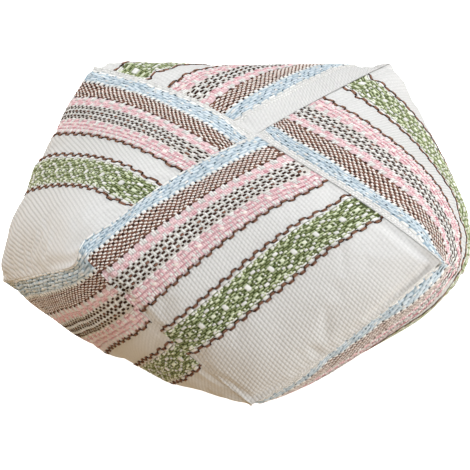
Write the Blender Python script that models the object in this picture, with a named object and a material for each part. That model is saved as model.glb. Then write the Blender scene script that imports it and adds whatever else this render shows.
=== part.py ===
"""A filled pouf cover, sewn from eight equal square panels of striped cloth.

Four upper panels lie round the middle of the top like a pinwheel and fold down
over the shoulder. Four lower panels fill the sides between them and fold under
to meet in the middle of the base. Each panel is one solid: its stuffed, crowned
cloth together with the share of filling behind it, down to the pouf's heart.

Lengths are in metres, +Z is up, and the pouf stands on the plane z = 0 with the
middle of its box on the Z axis. The viewer stands at -Y.
"""

import math
from collections import namedtuple

import bmesh
import bpy
import numpy as np

# Driving dimensions of the cut and sewn cover
PANEL_SIDE = 0.260
SHOULDER_TAKE_UP = 0.005
LOW_CORNER_TAKE_UP = 0.011
SHOULDER_RADIUS = PANEL_SIDE - SHOULDER_TAKE_UP
LOW_CORNER_RADIUS = PANEL_SIDE - LOW_CORNER_TAKE_UP

# Heights at which the filling holds the corners
CROWN_HEIGHT = 0.281
SHOULDER_HEIGHT = 0.244
LOW_CORNER_HEIGHT = 0.069
HEART_HEIGHT = 0.125

# How far the filling pushes each panel out of the net of seams
UPPER_CROWN = 0.036
UPPER_CROWN_LEAN = math.radians(26.0)
UPPER_CROWN_POWER = 4.0
LOWER_CROWN = 0.023
LOWER_CROWN_LEAN = math.radians(-59.0)
LOWER_CROWN_POWER = 3.0

# How the seams run between the corners
TOP_SEAM_SWIRL = 0.008
TOP_SEAM_DROP_POWER = 2.0
BASE_SEAM_LIFT_POWER = 3.0
SIDE_SEAM_BOW = 0.007
SEAM_CHANNEL_DEPTH = 0.0015
SEAM_CHANNEL_WIDTH = 0.012
CORNER_LIP_RAISE = 0.005
CORNER_LIP_REACH = 0.16

# The filling would sag this far below the floor in the middle of the base. The floor
# presses it flat, with an edge rounded over this height.
BASE_SAG = 0.003
FLOOR_SOFTNESS = 0.003

# Neighbouring panels stay this far apart, and their points at the heart
PIECE_GAP = 0.0003
HEART_SETBACK = 0.001

# Each panel is a grid of this many cells a side, drawn closer at the seams
CELLS = 22
SEAM_CROWDING = 0.6

# Where the hand-stuffed corners sit off the even net, in metres
CornerShift = namedtuple("CornerShift", "corner x y z")
CORNER_SHIFTS = (
    CornerShift("crown", 0.016, -0.018, 0.000),
    CornerShift("shoulder_0", 0.002, -0.005, 0.0115),
    CornerShift("shoulder_1", 0.023, -0.011, -0.011),
    CornerShift("shoulder_2", 0.005, -0.003, -0.005),
    CornerShift("shoulder_3", 0.021, -0.014, 0.009),
    CornerShift("low_0", 0.002, 0.020, 0.005),
    CornerShift("low_1", 0.0105, 0.001, -0.0045),
    CornerShift("low_2", 0.000, -0.004, 0.002),
    CornerShift("low_3", -0.021, -0.011, 0.0135),
)

# Soft troughs and ridges of the cloth, as fractions along and across a panel
Fold = namedtuple("Fold", "panel along_0 across_0 along_1 across_1 width depth")
FOLDS = (
    Fold("bottom_panel_front_left", 0.07, 0.98, 0.09, 0.50, 0.05, -0.0030),
    Fold("bottom_panel_front_left", 0.16, 0.95, 0.20, 0.55, 0.07, 0.0020),
    Fold("bottom_panel_front_left", 0.75, 0.06, 0.40, 0.20, 0.10, -0.0030),
    Fold("bottom_panel_front_right", 0.92, 0.04, 0.60, 0.16, 0.09, -0.0025),
    Fold("bottom_panel_back_right", 0.10, 0.92, 0.28, 0.60, 0.09, -0.0025),
    Fold("bottom_panel_back_left", 0.90, 0.08, 0.62, 0.34, 0.10, -0.0030),
    Fold("top_panel_front", 0.06, 0.93, 0.34, 0.80, 0.08, -0.0025),
    Fold("top_panel_front", 0.95, 0.94, 0.70, 0.72, 0.09, 0.0020),
    Fold("top_panel_right", 0.95, 0.06, 0.72, 0.22, 0.09, -0.0025),
    Fold("top_panel_back", 0.92, 0.10, 0.60, 0.30, 0.10, -0.0030),
    Fold("top_panel_left", 0.94, 0.92, 0.66, 0.70, 0.10, -0.0030),
    Fold("top_panel_left", 0.10, 0.90, 0.40, 0.84, 0.08, -0.0020),
    Fold("top_panel_left", 0.92, 0.92, 0.86, 0.86, 0.28, 0.0085),
    Fold("top_panel_left", 0.95, 0.10, 0.94, 0.34, 0.15, 0.0045),
    Fold("top_panel_left", 0.96, 0.68, 0.88, 0.66, 0.17, -0.0050),
    Fold("top_panel_back", 0.05, 0.95, 0.12, 0.88, 0.14, 0.0085),
    Fold("top_panel_back", 0.30, 0.80, 0.60, 0.50, 0.30, 0.0025),
    Fold("top_panel_right", 0.08, 0.93, 0.14, 0.86, 0.15, 0.0050),
    Fold("bottom_panel_front_left", 0.70, 0.30, 0.85, 0.20, 0.30, 0.0040),
    Fold("bottom_panel_front_left", 0.26, 0.94, 0.12, 0.92, 0.18, -0.0060),
    Fold("bottom_panel_front_right", 0.35, 0.36, 0.75, 0.30, 0.32, -0.0080),
    Fold("top_panel_front", 0.05, 0.93, 0.16, 0.67, 0.12, 0.0045),
    Fold("bottom_panel_front_left", 0.44, 0.64, 0.56, 0.36, 0.22, 0.0060),
    Fold("bottom_panel_front_left", 0.10, 0.90, 0.12, 0.84, 0.07, 0.0030),
    Fold("top_panel_left", 0.90, 0.50, 0.88, 0.40, 0.14, 0.0028),
    Fold("top_panel_right", 0.74, 0.78, 0.56, 0.85, 0.15, 0.0025),
    Fold("top_panel_back", 0.05, 0.84, 0.12, 0.74, 0.10, 0.0055),
    Fold("top_panel_back", 0.43, 0.38, 0.55, 0.30, 0.25, 0.0035),
    Fold("bottom_panel_front_left", 0.57, 0.43, 0.50, 0.46, 0.13, 0.0035),
    Fold("top_panel_left", 0.92, 0.60, 0.90, 0.56, 0.10, 0.0035),
)

# Where the stuffing hangs the cloth and its seam lower beside a corner, in metres.
# The seam lies at this place across the panel.
Droop = namedtuple("Droop", "panel seam x y z")
DROOPS = (
    Droop("top_panel_left", 1.0, 0.0, -0.0078, -0.0117),
    Droop("bottom_panel_front_left", 0.0, 0.0, -0.0078, -0.0117),
)
# Where the stuffing swells a top seam out beside a shoulder, in metres.
# Turned: the seam runs across the panel, not along it.
Lobe = namedtuple("Lobe", "panel turned middle length x y z")
LOBES = (
    Lobe("top_panel_front", False, 0.96, 0.20, -0.0019, 0.0037, 0.0040),
    Lobe("top_panel_left", True, 0.96, 0.20, -0.0019, 0.0037, 0.0040),
    Lobe("top_panel_right", False, 0.64, 0.54, 0.0015, -0.0015, 0.0042),
    Lobe("top_panel_front", True, 0.64, 0.54, 0.0015, -0.0015, 0.0042),
)
LOBE_REACH = 0.15
LOBE_END_POWER = 90.0

DROOP_REACH = 0.25
DROOP_START_POWER = 30.0
DROOP_END_POWER = 1.1

CLOTH_COLOUR = (0.78, 0.74, 0.70, 1.0)
CLOTH_ROUGHNESS = 0.9
CLOTH_METALLIC = 0.0

UPPER_NAMES = ("top_panel_front", "top_panel_right", "top_panel_back", "top_panel_left")
LOWER_NAMES = (
    "bottom_panel_front_left",
    "bottom_panel_front_right",
    "bottom_panel_back_right",
    "bottom_panel_back_left",
)


def clear_scene():
    """Remove every object that the file opened with."""
    for old in list(bpy.data.objects):
        bpy.data.objects.remove(old, do_unlink=True)


def compass(degrees):
    """Return the level unit vector at this angle, counted from +X towards +Y."""
    angle = math.radians(degrees)
    return np.array([math.cos(angle), math.sin(angle), 0.0])


def corner_points():
    """Return the ten corners where the panels meet, by name."""
    corners = {
        "crown": np.array([0.0, 0.0, CROWN_HEIGHT]),
        "base": np.array([0.0, 0.0, -BASE_SAG]),
    }
    for turn in range(4):
        shoulder = SHOULDER_RADIUS * compass(-135.0 + 90.0 * turn)
        low = LOW_CORNER_RADIUS * compass(-90.0 + 90.0 * turn)
        corners[f"shoulder_{turn}"] = shoulder + [0.0, 0.0, SHOULDER_HEIGHT]
        corners[f"low_{turn}"] = low + [0.0, 0.0, LOW_CORNER_HEIGHT]
    for shift in CORNER_SHIFTS:
        corners[shift.corner] = corners[shift.corner] + [shift.x, shift.y, shift.z]
    return corners


def seam_steps():
    """Return the places of the grid lines from 0 to 1, closer at both ends."""
    even = np.linspace(0.0, 1.0, CELLS + 1)
    crowded = 0.5 - 0.5 * np.cos(math.pi * even)
    return (1.0 - SEAM_CROWDING) * even + SEAM_CROWDING * crowded


def top_seam(crown, shoulder, steps):
    """Return a seam from the middle of the top, swirling as it drops to a shoulder."""
    run = shoulder - crown
    points = crown + np.outer(steps, run)
    points[:, 2] = crown[2] + run[2] * steps**TOP_SEAM_DROP_POWER
    clockwise = np.array([run[1], -run[0], 0.0])
    clockwise /= np.linalg.norm(clockwise)
    return points + np.outer(TOP_SEAM_SWIRL * np.sin(math.pi * steps), clockwise)


def base_seam(base, low, steps):
    """Return a seam from the middle of the base, lifting off the floor to a low corner."""
    points = base + np.outer(steps, low - base)
    points[:, 2] = base[2] + (low[2] - base[2]) * steps**BASE_SEAM_LIFT_POWER
    return points


def side_seam(start, end, steps):
    """Return a seam down the side, bowed out a little by the filling."""
    points = start + np.outer(steps, end - start)
    outward = (start + end) * [1.0, 1.0, 0.0]
    outward /= np.linalg.norm(outward)
    return points + np.outer(SIDE_SEAM_BOW * 4.0 * steps * (1.0 - steps), outward)


def stretch_between(near_edge, far_edge, start_edge, finish_edge, steps):
    """Return the slack net of points that spans four seams (a Coons patch).

    The near and far edges run along the stripes, at across = 0 and 1. The start
    and finish edges run across them, at along = 0 and 1.
    """
    along = steps[:, None, None]
    across = steps[None, :, None]
    net = (1.0 - across) * near_edge[:, None, :] + across * far_edge[:, None, :]
    net = net + (1.0 - along) * start_edge[None, :, :] + along * finish_edge[None, :, :]
    net = net - (1.0 - along) * (1.0 - across) * near_edge[0]
    net = net - along * (1.0 - across) * near_edge[-1]
    net = net - (1.0 - along) * across * far_edge[0]
    return net - along * across * far_edge[-1]


def crown_profile(steps, power):
    """Return how full the panel is along one side: 0 at the seams, 1 in the middle."""
    return 1.0 - np.abs(2.0 * steps - 1.0) ** power


def fade(distance, reach):
    """Return a soft bell: 1 at no distance, 0 from reach onwards."""
    near = np.clip(distance / reach, 0.0, 1.0)
    return 0.5 + 0.5 * np.cos(math.pi * near)


def fold_relief(name, steps):
    """Return how far this panel's troughs and ridges lift its points."""
    along, across = np.meshgrid(steps, steps, indexing="ij")
    relief = np.zeros_like(along)
    for fold in FOLDS:
        if fold.panel != name:
            continue
        run = np.array([fold.along_1 - fold.along_0, fold.across_1 - fold.across_0])
        length = np.linalg.norm(run)
        run /= length
        beside_a = along - fold.along_0
        beside_b = across - fold.across_0
        place = np.clip(beside_a * run[0] + beside_b * run[1], 0.0, length)
        off = np.hypot(beside_a - place * run[0], beside_b - place * run[1])
        relief += fold.depth * fade(off, fold.width) * (1.0 - 0.6 * place / length)
    rim = np.minimum(np.minimum(along, 1.0 - along), np.minimum(across, 1.0 - across))
    return relief * np.clip(rim / 0.04, 0.0, 1.0)


def droop_of(name, steps):
    """Return how far this panel's points hang down beside a corner, [along][across]."""
    along, across = np.meshgrid(steps, steps, indexing="ij")
    hung = np.zeros((len(steps), len(steps), 3))
    for droop in DROOPS:
        if droop.panel != name:
            continue
        share = (1.0 - (1.0 - along) ** DROOP_START_POWER) * (1.0 - along) ** DROOP_END_POWER
        share = share * np.clip(1.0 - np.abs(across - droop.seam) / DROOP_REACH, 0.0, 1.0) ** 2
        hung += share[:, :, None] * np.array([droop.x, droop.y, droop.z])
    return hung


def lobe_of(name, steps):
    """Return how far this panel's points swell out beside a shoulder, [along][across]."""
    along, across = np.meshgrid(steps, steps, indexing="ij")
    swollen = np.zeros((len(steps), len(steps), 3))
    for lobe in LOBES:
        if lobe.panel != name:
            continue
        place, off = (across, along) if lobe.turned else (along, across)
        share = (1.0 - place**LOBE_END_POWER) * fade(np.abs(place - lobe.middle), lobe.length)
        share = share * np.clip(1.0 - off / LOBE_REACH, 0.0, 1.0) ** 2
        swollen += share[:, :, None] * np.array([lobe.x, lobe.y, lobe.z])
    return swollen


def channel_relief(steps):
    """Return the drawn-in trough that the stitching pulls along all four seams."""
    along, across = np.meshgrid(steps, steps, indexing="ij")
    rim = np.minimum(np.minimum(along, 1.0 - along), np.minimum(across, 1.0 - across))
    trough = fade(np.abs(rim * PANEL_SIDE - 0.5 * SEAM_CHANNEL_WIDTH), 0.5 * SEAM_CHANNEL_WIDTH)
    return -SEAM_CHANNEL_DEPTH * trough


def lip_relief(steps):
    """Return the raised lip at an upper panel's shoulder corner, where stripes start."""
    along, across = np.meshgrid(steps, steps, indexing="ij")
    lip = fade(np.hypot(1.0 - along, across), CORNER_LIP_REACH)
    rim = np.minimum(np.minimum(along, 1.0 - along), np.minimum(across, 1.0 - across))
    return CORNER_LIP_RAISE * lip * np.clip(rim / 0.03, 0.0, 1.0)


def settle_on_floor(height):
    """Return heights pressed flat on the floor, rounded where the cloth leaves it."""
    rounded = (height + FLOOR_SOFTNESS) ** 2 / (4.0 * FLOOR_SOFTNESS)
    pressed = np.where(height < FLOOR_SOFTNESS, rounded, height)
    return np.where(height < -FLOOR_SOFTNESS, 0.0, pressed)


def upper_panel(turn, corners, steps):
    """Return the outer points of one upper panel, [along][across], blue edge first."""
    crown = corners["crown"]
    own = corners[f"shoulder_{turn}"]
    other = corners[f"shoulder_{(turn + 1) % 4}"]
    low = corners[f"low_{turn}"]
    net = stretch_between(
        top_seam(crown, own, steps),
        side_seam(other, low, steps),
        top_seam(crown, other, steps),
        side_seam(own, low, steps),
        steps,
    )
    full = crown_profile(steps, UPPER_CROWN_POWER)
    push = compass(-90.0 + 90.0 * turn) * math.cos(UPPER_CROWN_LEAN)
    push[2] = math.sin(UPPER_CROWN_LEAN)
    lift = UPPER_CROWN * np.outer(full, full)
    lift += fold_relief(UPPER_NAMES[turn], steps) + channel_relief(steps) + lip_relief(steps)
    moved = droop_of(UPPER_NAMES[turn], steps) + lobe_of(UPPER_NAMES[turn], steps)
    return net + lift[:, :, None] * push + moved


def lower_panel(turn, corners, steps):
    """Return the outer points of one lower panel, [along][across], blue edge first."""
    base = corners["base"]
    shoulder = corners[f"shoulder_{turn}"]
    own = corners[f"low_{turn}"]
    other = corners[f"low_{(turn + 3) % 4}"]
    net = stretch_between(
        side_seam(shoulder, other, steps),
        base_seam(base, own, steps)[::-1],
        side_seam(shoulder, own, steps),
        base_seam(base, other, steps)[::-1],
        steps,
    )
    full = crown_profile(steps, LOWER_CROWN_POWER)
    push = compass(-135.0 + 90.0 * turn) * math.cos(LOWER_CROWN_LEAN)
    push[2] = math.sin(LOWER_CROWN_LEAN)
    lift = LOWER_CROWN * np.outer(full, full)
    lift += fold_relief(LOWER_NAMES[turn], steps) + channel_relief(steps)
    points = net + lift[:, :, None] * push + droop_of(LOWER_NAMES[turn], steps)
    points[:, :, 2] = settle_on_floor(points[:, :, 2])
    return points


def all_panels():
    """Return every panel's outer points by name, with the box's middle on the Z axis."""
    corners = corner_points()
    steps = seam_steps()
    panels = {}
    for turn in range(4):
        panels[UPPER_NAMES[turn]] = upper_panel(turn, corners, steps)
        panels[LOWER_NAMES[turn]] = lower_panel(turn, corners, steps)
    cloud = np.concatenate([points.reshape(-1, 3) for points in panels.values()])
    middle = 0.5 * (cloud.min(axis=0) + cloud.max(axis=0)) * [1.0, 1.0, 0.0]
    heart = np.array([0.0, 0.0, HEART_HEIGHT]) - middle
    for name in panels:
        panels[name] = panels[name] - middle
    return panels, heart


def rim_indices():
    """Return the grid indices of the rim, once round, starting at the first corner."""
    last = CELLS
    out = [(step, 0) for step in range(last)]
    out += [(last, step) for step in range(last)]
    out += [(last - step, last) for step in range(last)]
    out += [(0, last - step) for step in range(last)]
    return out


def draw_in_rim(points, heart):
    """Return the points with the rim set back from the neighbours' shared seams."""
    rim = rim_indices()
    inside = points[CELLS // 2, CELLS // 2]
    drawn = points.copy()
    count = len(rim)
    for place in range(count):
        here = points[rim[place]]
        before = points[rim[place - 1]]
        after = points[rim[(place + 1) % count]]
        walls = []
        for other in (before, after):
            wall = np.cross(other - here, here - heart)
            wall /= np.linalg.norm(wall)
            walls.append(wall if wall @ (inside - here) > 0.0 else -wall)
        shift = (walls[0] + walls[1]) / (1.0 + walls[0] @ walls[1])
        drawn[rim[place]] = here + 0.5 * PIECE_GAP * shift
    return drawn


def cloth_material(name):
    """Return this panel's own plain cloth material."""
    material = bpy.data.materials.new(f"striped_cotton_{name}")
    material.use_nodes = True
    shader = material.node_tree.nodes["Principled BSDF"]
    shader.inputs["Base Color"].default_value = CLOTH_COLOUR
    shader.inputs["Roughness"].default_value = CLOTH_ROUGHNESS
    shader.inputs["Metallic"].default_value = CLOTH_METALLIC
    material.diffuse_color = CLOTH_COLOUR
    return material


def build_panel(name, points, heart):
    """Add one panel: its crowned cloth, closed by flat walls that meet at the heart."""
    drawn = draw_in_rim(points, heart)
    towards = points.reshape(-1, 3).mean(axis=0) - heart
    apex_place = heart + HEART_SETBACK * towards / np.linalg.norm(towards)

    shape = bmesh.new()
    grid = [[shape.verts.new(drawn[a, b]) for b in range(CELLS + 1)] for a in range(CELLS + 1)]
    apex = shape.verts.new(apex_place)
    for a in range(CELLS):
        for b in range(CELLS):
            shape.faces.new((grid[a][b], grid[a][b + 1], grid[a + 1][b + 1], grid[a + 1][b]))
    rim = [grid[a][b] for a, b in rim_indices()]
    for place, corner in enumerate(rim):
        shape.faces.new((rim[(place + 1) % len(rim)], apex, corner))
    bmesh.ops.triangulate(shape, faces=shape.faces[:], quad_method="SHORT_EDGE")
    bmesh.ops.recalc_face_normals(shape, faces=shape.faces[:])
    if shape.calc_volume(signed=True) < 0.0:
        bmesh.ops.reverse_faces(shape, faces=shape.faces[:])

    mesh = bpy.data.meshes.new(name)
    shape.to_mesh(mesh)
    shape.free()
    mesh.materials.append(cloth_material(name))
    mesh.shade_smooth()
    mesh.set_sharp_from_angle(angle=math.radians(40.0))
    panel = bpy.data.objects.new(name, mesh)
    bpy.context.scene.collection.objects.link(panel)
    return panel


def main():
    """Model the whole pouf cover."""
    clear_scene()
    pouf = bpy.data.objects.new("pouf_cover", None)
    bpy.context.scene.collection.objects.link(pouf)
    panels, heart = all_panels()
    for name, points in panels.items():
        panel = build_panel(name, points, heart)
        panel.parent = pouf


main()
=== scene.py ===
"""The looks of a filled pouf cover, sewn from eight equal squares of striped woven cloth.

Each panel is one crowned, closed piece of ground cloth that takes the place of its solid,
with its seams, soft folds and stuffing in the mesh, and its fine ribs and grains in the
material, as a bump and as painted shade in their hollows. The coloured stripes on it are
real raised floats of yarn, laid stitch by stitch from a weave chart, and joined into one
piece a panel. Lengths are in metres unless a name ends in _mm.
"""

import logging
import math
from dataclasses import dataclass, replace
from enum import Enum
from functools import partial
from typing import Callable, NamedTuple

import bpy
import numpy as np
from bpy.types import ID, Material, Mesh, Node, NodeSocket, NodeTree, Object
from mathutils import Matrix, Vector


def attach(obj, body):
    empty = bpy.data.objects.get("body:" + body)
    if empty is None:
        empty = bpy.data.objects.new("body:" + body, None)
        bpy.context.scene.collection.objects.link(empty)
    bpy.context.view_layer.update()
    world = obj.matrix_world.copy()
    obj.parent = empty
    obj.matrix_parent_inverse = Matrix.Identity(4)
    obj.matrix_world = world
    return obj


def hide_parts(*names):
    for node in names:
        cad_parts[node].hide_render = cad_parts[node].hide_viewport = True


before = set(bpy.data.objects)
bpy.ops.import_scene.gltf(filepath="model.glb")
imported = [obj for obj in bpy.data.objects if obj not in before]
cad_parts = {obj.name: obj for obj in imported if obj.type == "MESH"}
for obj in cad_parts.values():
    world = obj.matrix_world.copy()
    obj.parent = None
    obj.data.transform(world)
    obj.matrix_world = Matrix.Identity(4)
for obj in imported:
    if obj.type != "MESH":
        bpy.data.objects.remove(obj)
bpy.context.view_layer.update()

BODY = "root"
MM = 0.001

LOG = logging.getLogger("pouf_cover")

Array = np.ndarray
SeamCurve = Callable[[Array], Array]


def compass(degrees: float) -> Array:
    """Turn a level heading, counted from +X towards +Y, into a unit vector."""
    angle = math.radians(degrees)
    return np.array([math.cos(angle), math.sin(angle), 0.0])


def fade(distance: Array, reach: float) -> Array:
    """Make a soft bell, one at no distance and down to zero at its reach."""
    near = np.clip(distance / reach, 0.0, 1.0)
    return 0.5 + 0.5 * np.cos(math.pi * near)


def unit(vectors: Array) -> Array:
    """Scale vectors, one a row, to a length of one."""
    return vectors / np.maximum(np.linalg.norm(vectors, axis=-1, keepdims=True), 1e-12)


def chance_for(name: str, start: int = 0) -> np.random.Generator:
    """Make a source of unevenness that is always the same for a name."""
    return np.random.default_rng(start + sum(map(ord, name)))


def grid_quads(index: Array) -> Array:
    """List the corners of each four-sided face between the points of a grid."""
    corners = (index[:-1, :-1], index[1:, :-1], index[1:, 1:], index[:-1, 1:])
    return np.stack([corner.ravel() for corner in corners], axis=1)


def grid_rim(index: Array) -> Array:
    """List the outer points of a grid in turn, once round."""
    return np.concatenate([index[:-1, 0], index[-1, :-1], index[:0:-1, -1], index[0, :0:-1]])


def add_values(mesh: Mesh, name: str, domain: str, values: Array) -> None:
    """Keep values, or vectors one a row, on a mesh's points or faces for its material to read."""
    kind, key = ("FLOAT", "value") if values.ndim == 1 else ("FLOAT_VECTOR", "vector")
    mesh.attributes.new(name, kind, domain).data.foreach_set(key, values.astype(np.float32).ravel())


def add_places(mesh: Mesh, name: str, places: Array) -> None:
    """Lay a UV map on a mesh.

    Args:
        mesh: The mesh.
        name: The map's name.
        places: The place of each of the mesh's points, one a row.
    """
    loops = np.empty(len(mesh.loops), np.int32)
    mesh.loops.foreach_get("vertex_index", loops)
    mesh.uv_layers.new(name=name).data.foreach_set("uv", places[loops].astype(np.float32).ravel())


def add_object(data: ID) -> Object:
    """Put a mesh, lamp or camera into the scene.

    Args:
        data: The mesh, lamp or camera.

    Returns:
        The object, under the same name.
    """
    made = bpy.data.objects.new(data.name, data)
    bpy.context.scene.collection.objects.link(made)
    return made


class Spots(NamedTuple):
    """Places on a panel along and across its stripes, as shares of its side from 0 to 1."""

    along: Array
    across: Array

    def rim(self) -> Array:
        """Find how far each place is from the nearest seam."""
        along, across = self
        return np.minimum(np.minimum(along, 1.0 - along), np.minimum(across, 1.0 - across))

    def held(self, inset: float = 0.0) -> "Spots":
        """Bring places beyond the seams back onto the panel, an inset inside them."""
        return Spots(np.clip(self.along, inset, 1.0 - inset), np.clip(self.across, inset, 1.0 - inset))


def spot_grid(run: Array, rise: Array) -> Spots:
    """Pair every place along with every place across, as flat lists."""
    along, across = np.meshgrid(run, rise, indexing="ij")
    return Spots(along.ravel(), across.ravel())


class Fold(NamedTuple):
    """A soft trough or ridge of a panel's cloth, from one place to another."""

    along_0: float
    across_0: float
    along_1: float
    across_1: float
    width: float
    depth: float

    def lift(self, spots: Spots) -> Array:
        """Find how far it lifts the cloth, less and less towards its second place.

        Args:
            spots: Places on the panel.

        Returns:
            The lift at each, in metres.
        """
        run = np.array([self.along_1 - self.along_0, self.across_1 - self.across_0])
        length = np.linalg.norm(run)
        run /= length
        beside_a = spots.along - self.along_0
        beside_b = spots.across - self.across_0
        place = np.clip(beside_a * run[0] + beside_b * run[1], 0.0, length)
        off = np.hypot(beside_a - place * run[0], beside_b - place * run[1])
        return self.depth * fade(off, self.width) * (1.0 - FOLD_TAPER * place / length)


class Lobe(NamedTuple):
    """Where the stuffing swells a top seam out beside a shoulder, in metres.

    The seam runs along one of the two panels that it joins, and across the other.
    """

    along_panel: str
    across_panel: str
    middle: float
    length: float
    x: float
    y: float
    z: float


class CornerShift(NamedTuple):
    """How far a hand-stuffed corner sits off the even net, in metres."""

    corner: str
    x: float
    y: float
    z: float


CORNER_SHIFTS = (
    CornerShift("crown", 0.016, -0.018, 0.000),
    CornerShift("shoulder_0", 0.002, -0.005, 0.0115),
    CornerShift("shoulder_1", 0.023, -0.011, -0.011),
    CornerShift("shoulder_2", 0.005, -0.003, -0.005),
    CornerShift("shoulder_3", 0.021, -0.014, 0.009),
    CornerShift("low_0", 0.002, 0.020, 0.005),
    CornerShift("low_1", 0.0105, 0.001, -0.0045),
    CornerShift("low_2", 0.000, -0.004, 0.002),
    CornerShift("low_3", -0.021, -0.011, 0.0135),
)

FOLD_TAPER = 0.6
FOLDS = {
    "top_panel_front": (
        Fold(0.06, 0.93, 0.34, 0.80, 0.08, -0.0025),
        Fold(0.95, 0.94, 0.70, 0.72, 0.09, 0.0020),
        Fold(0.05, 0.93, 0.16, 0.67, 0.12, 0.0045),
    ),
    "top_panel_right": (
        Fold(0.95, 0.06, 0.72, 0.22, 0.09, -0.0025),
        Fold(0.08, 0.93, 0.14, 0.86, 0.15, 0.0050),
        Fold(0.74, 0.78, 0.56, 0.85, 0.15, 0.0025),
    ),
    "top_panel_back": (
        Fold(0.92, 0.10, 0.60, 0.30, 0.10, -0.0030),
        Fold(0.05, 0.95, 0.12, 0.88, 0.14, 0.0085),
        Fold(0.30, 0.80, 0.60, 0.50, 0.30, 0.0025),
        Fold(0.05, 0.84, 0.12, 0.74, 0.10, 0.0055),
        Fold(0.43, 0.38, 0.55, 0.30, 0.25, 0.0035),
    ),
    "top_panel_left": (
        Fold(0.94, 0.92, 0.66, 0.70, 0.10, -0.0030),
        Fold(0.10, 0.90, 0.40, 0.84, 0.08, -0.0020),
        Fold(0.92, 0.92, 0.86, 0.86, 0.28, 0.0085),
        Fold(0.95, 0.10, 0.94, 0.34, 0.15, 0.0045),
        Fold(0.96, 0.68, 0.88, 0.66, 0.17, -0.0050),
        Fold(0.90, 0.50, 0.88, 0.40, 0.14, 0.0028),
        Fold(0.92, 0.60, 0.90, 0.56, 0.10, 0.0035),
    ),
    "bottom_panel_front_left": (
        Fold(0.07, 0.98, 0.09, 0.50, 0.05, -0.0030),
        Fold(0.16, 0.95, 0.20, 0.55, 0.07, 0.0020),
        Fold(0.75, 0.06, 0.40, 0.20, 0.10, -0.0030),
        Fold(0.70, 0.30, 0.85, 0.20, 0.30, 0.0040),
        Fold(0.26, 0.94, 0.12, 0.92, 0.18, -0.0060),
        Fold(0.44, 0.64, 0.56, 0.36, 0.22, 0.0060),
        Fold(0.10, 0.90, 0.12, 0.84, 0.07, 0.0030),
        Fold(0.57, 0.43, 0.50, 0.46, 0.13, 0.0035),
    ),
    "bottom_panel_front_right": (
        Fold(0.92, 0.04, 0.60, 0.16, 0.09, -0.0025),
        Fold(0.35, 0.36, 0.75, 0.30, 0.32, -0.0080),
    ),
    "bottom_panel_back_right": (Fold(0.10, 0.92, 0.28, 0.60, 0.09, -0.0025),),
    "bottom_panel_back_left": (Fold(0.90, 0.08, 0.62, 0.34, 0.10, -0.0030),),
}

# The seam that hangs low beside the front left shoulder: where it runs across each panel
HUNG_SEAM = {"top_panel_left": 1.0, "bottom_panel_front_left": 0.0}
HANG = (0.0, -0.0078, -0.0117)

LOBES = (
    Lobe("top_panel_front", "top_panel_left", 0.96, 0.20, -0.0019, 0.0037, 0.0040),
    Lobe("top_panel_right", "top_panel_front", 0.64, 0.54, 0.0015, -0.0015, 0.0042),
)

UPPER_NAMES = ("top_panel_front", "top_panel_right", "top_panel_back", "top_panel_left")
LOWER_NAMES = (
    "bottom_panel_front_left",
    "bottom_panel_front_right",
    "bottom_panel_back_right",
    "bottom_panel_back_left",
)


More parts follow.
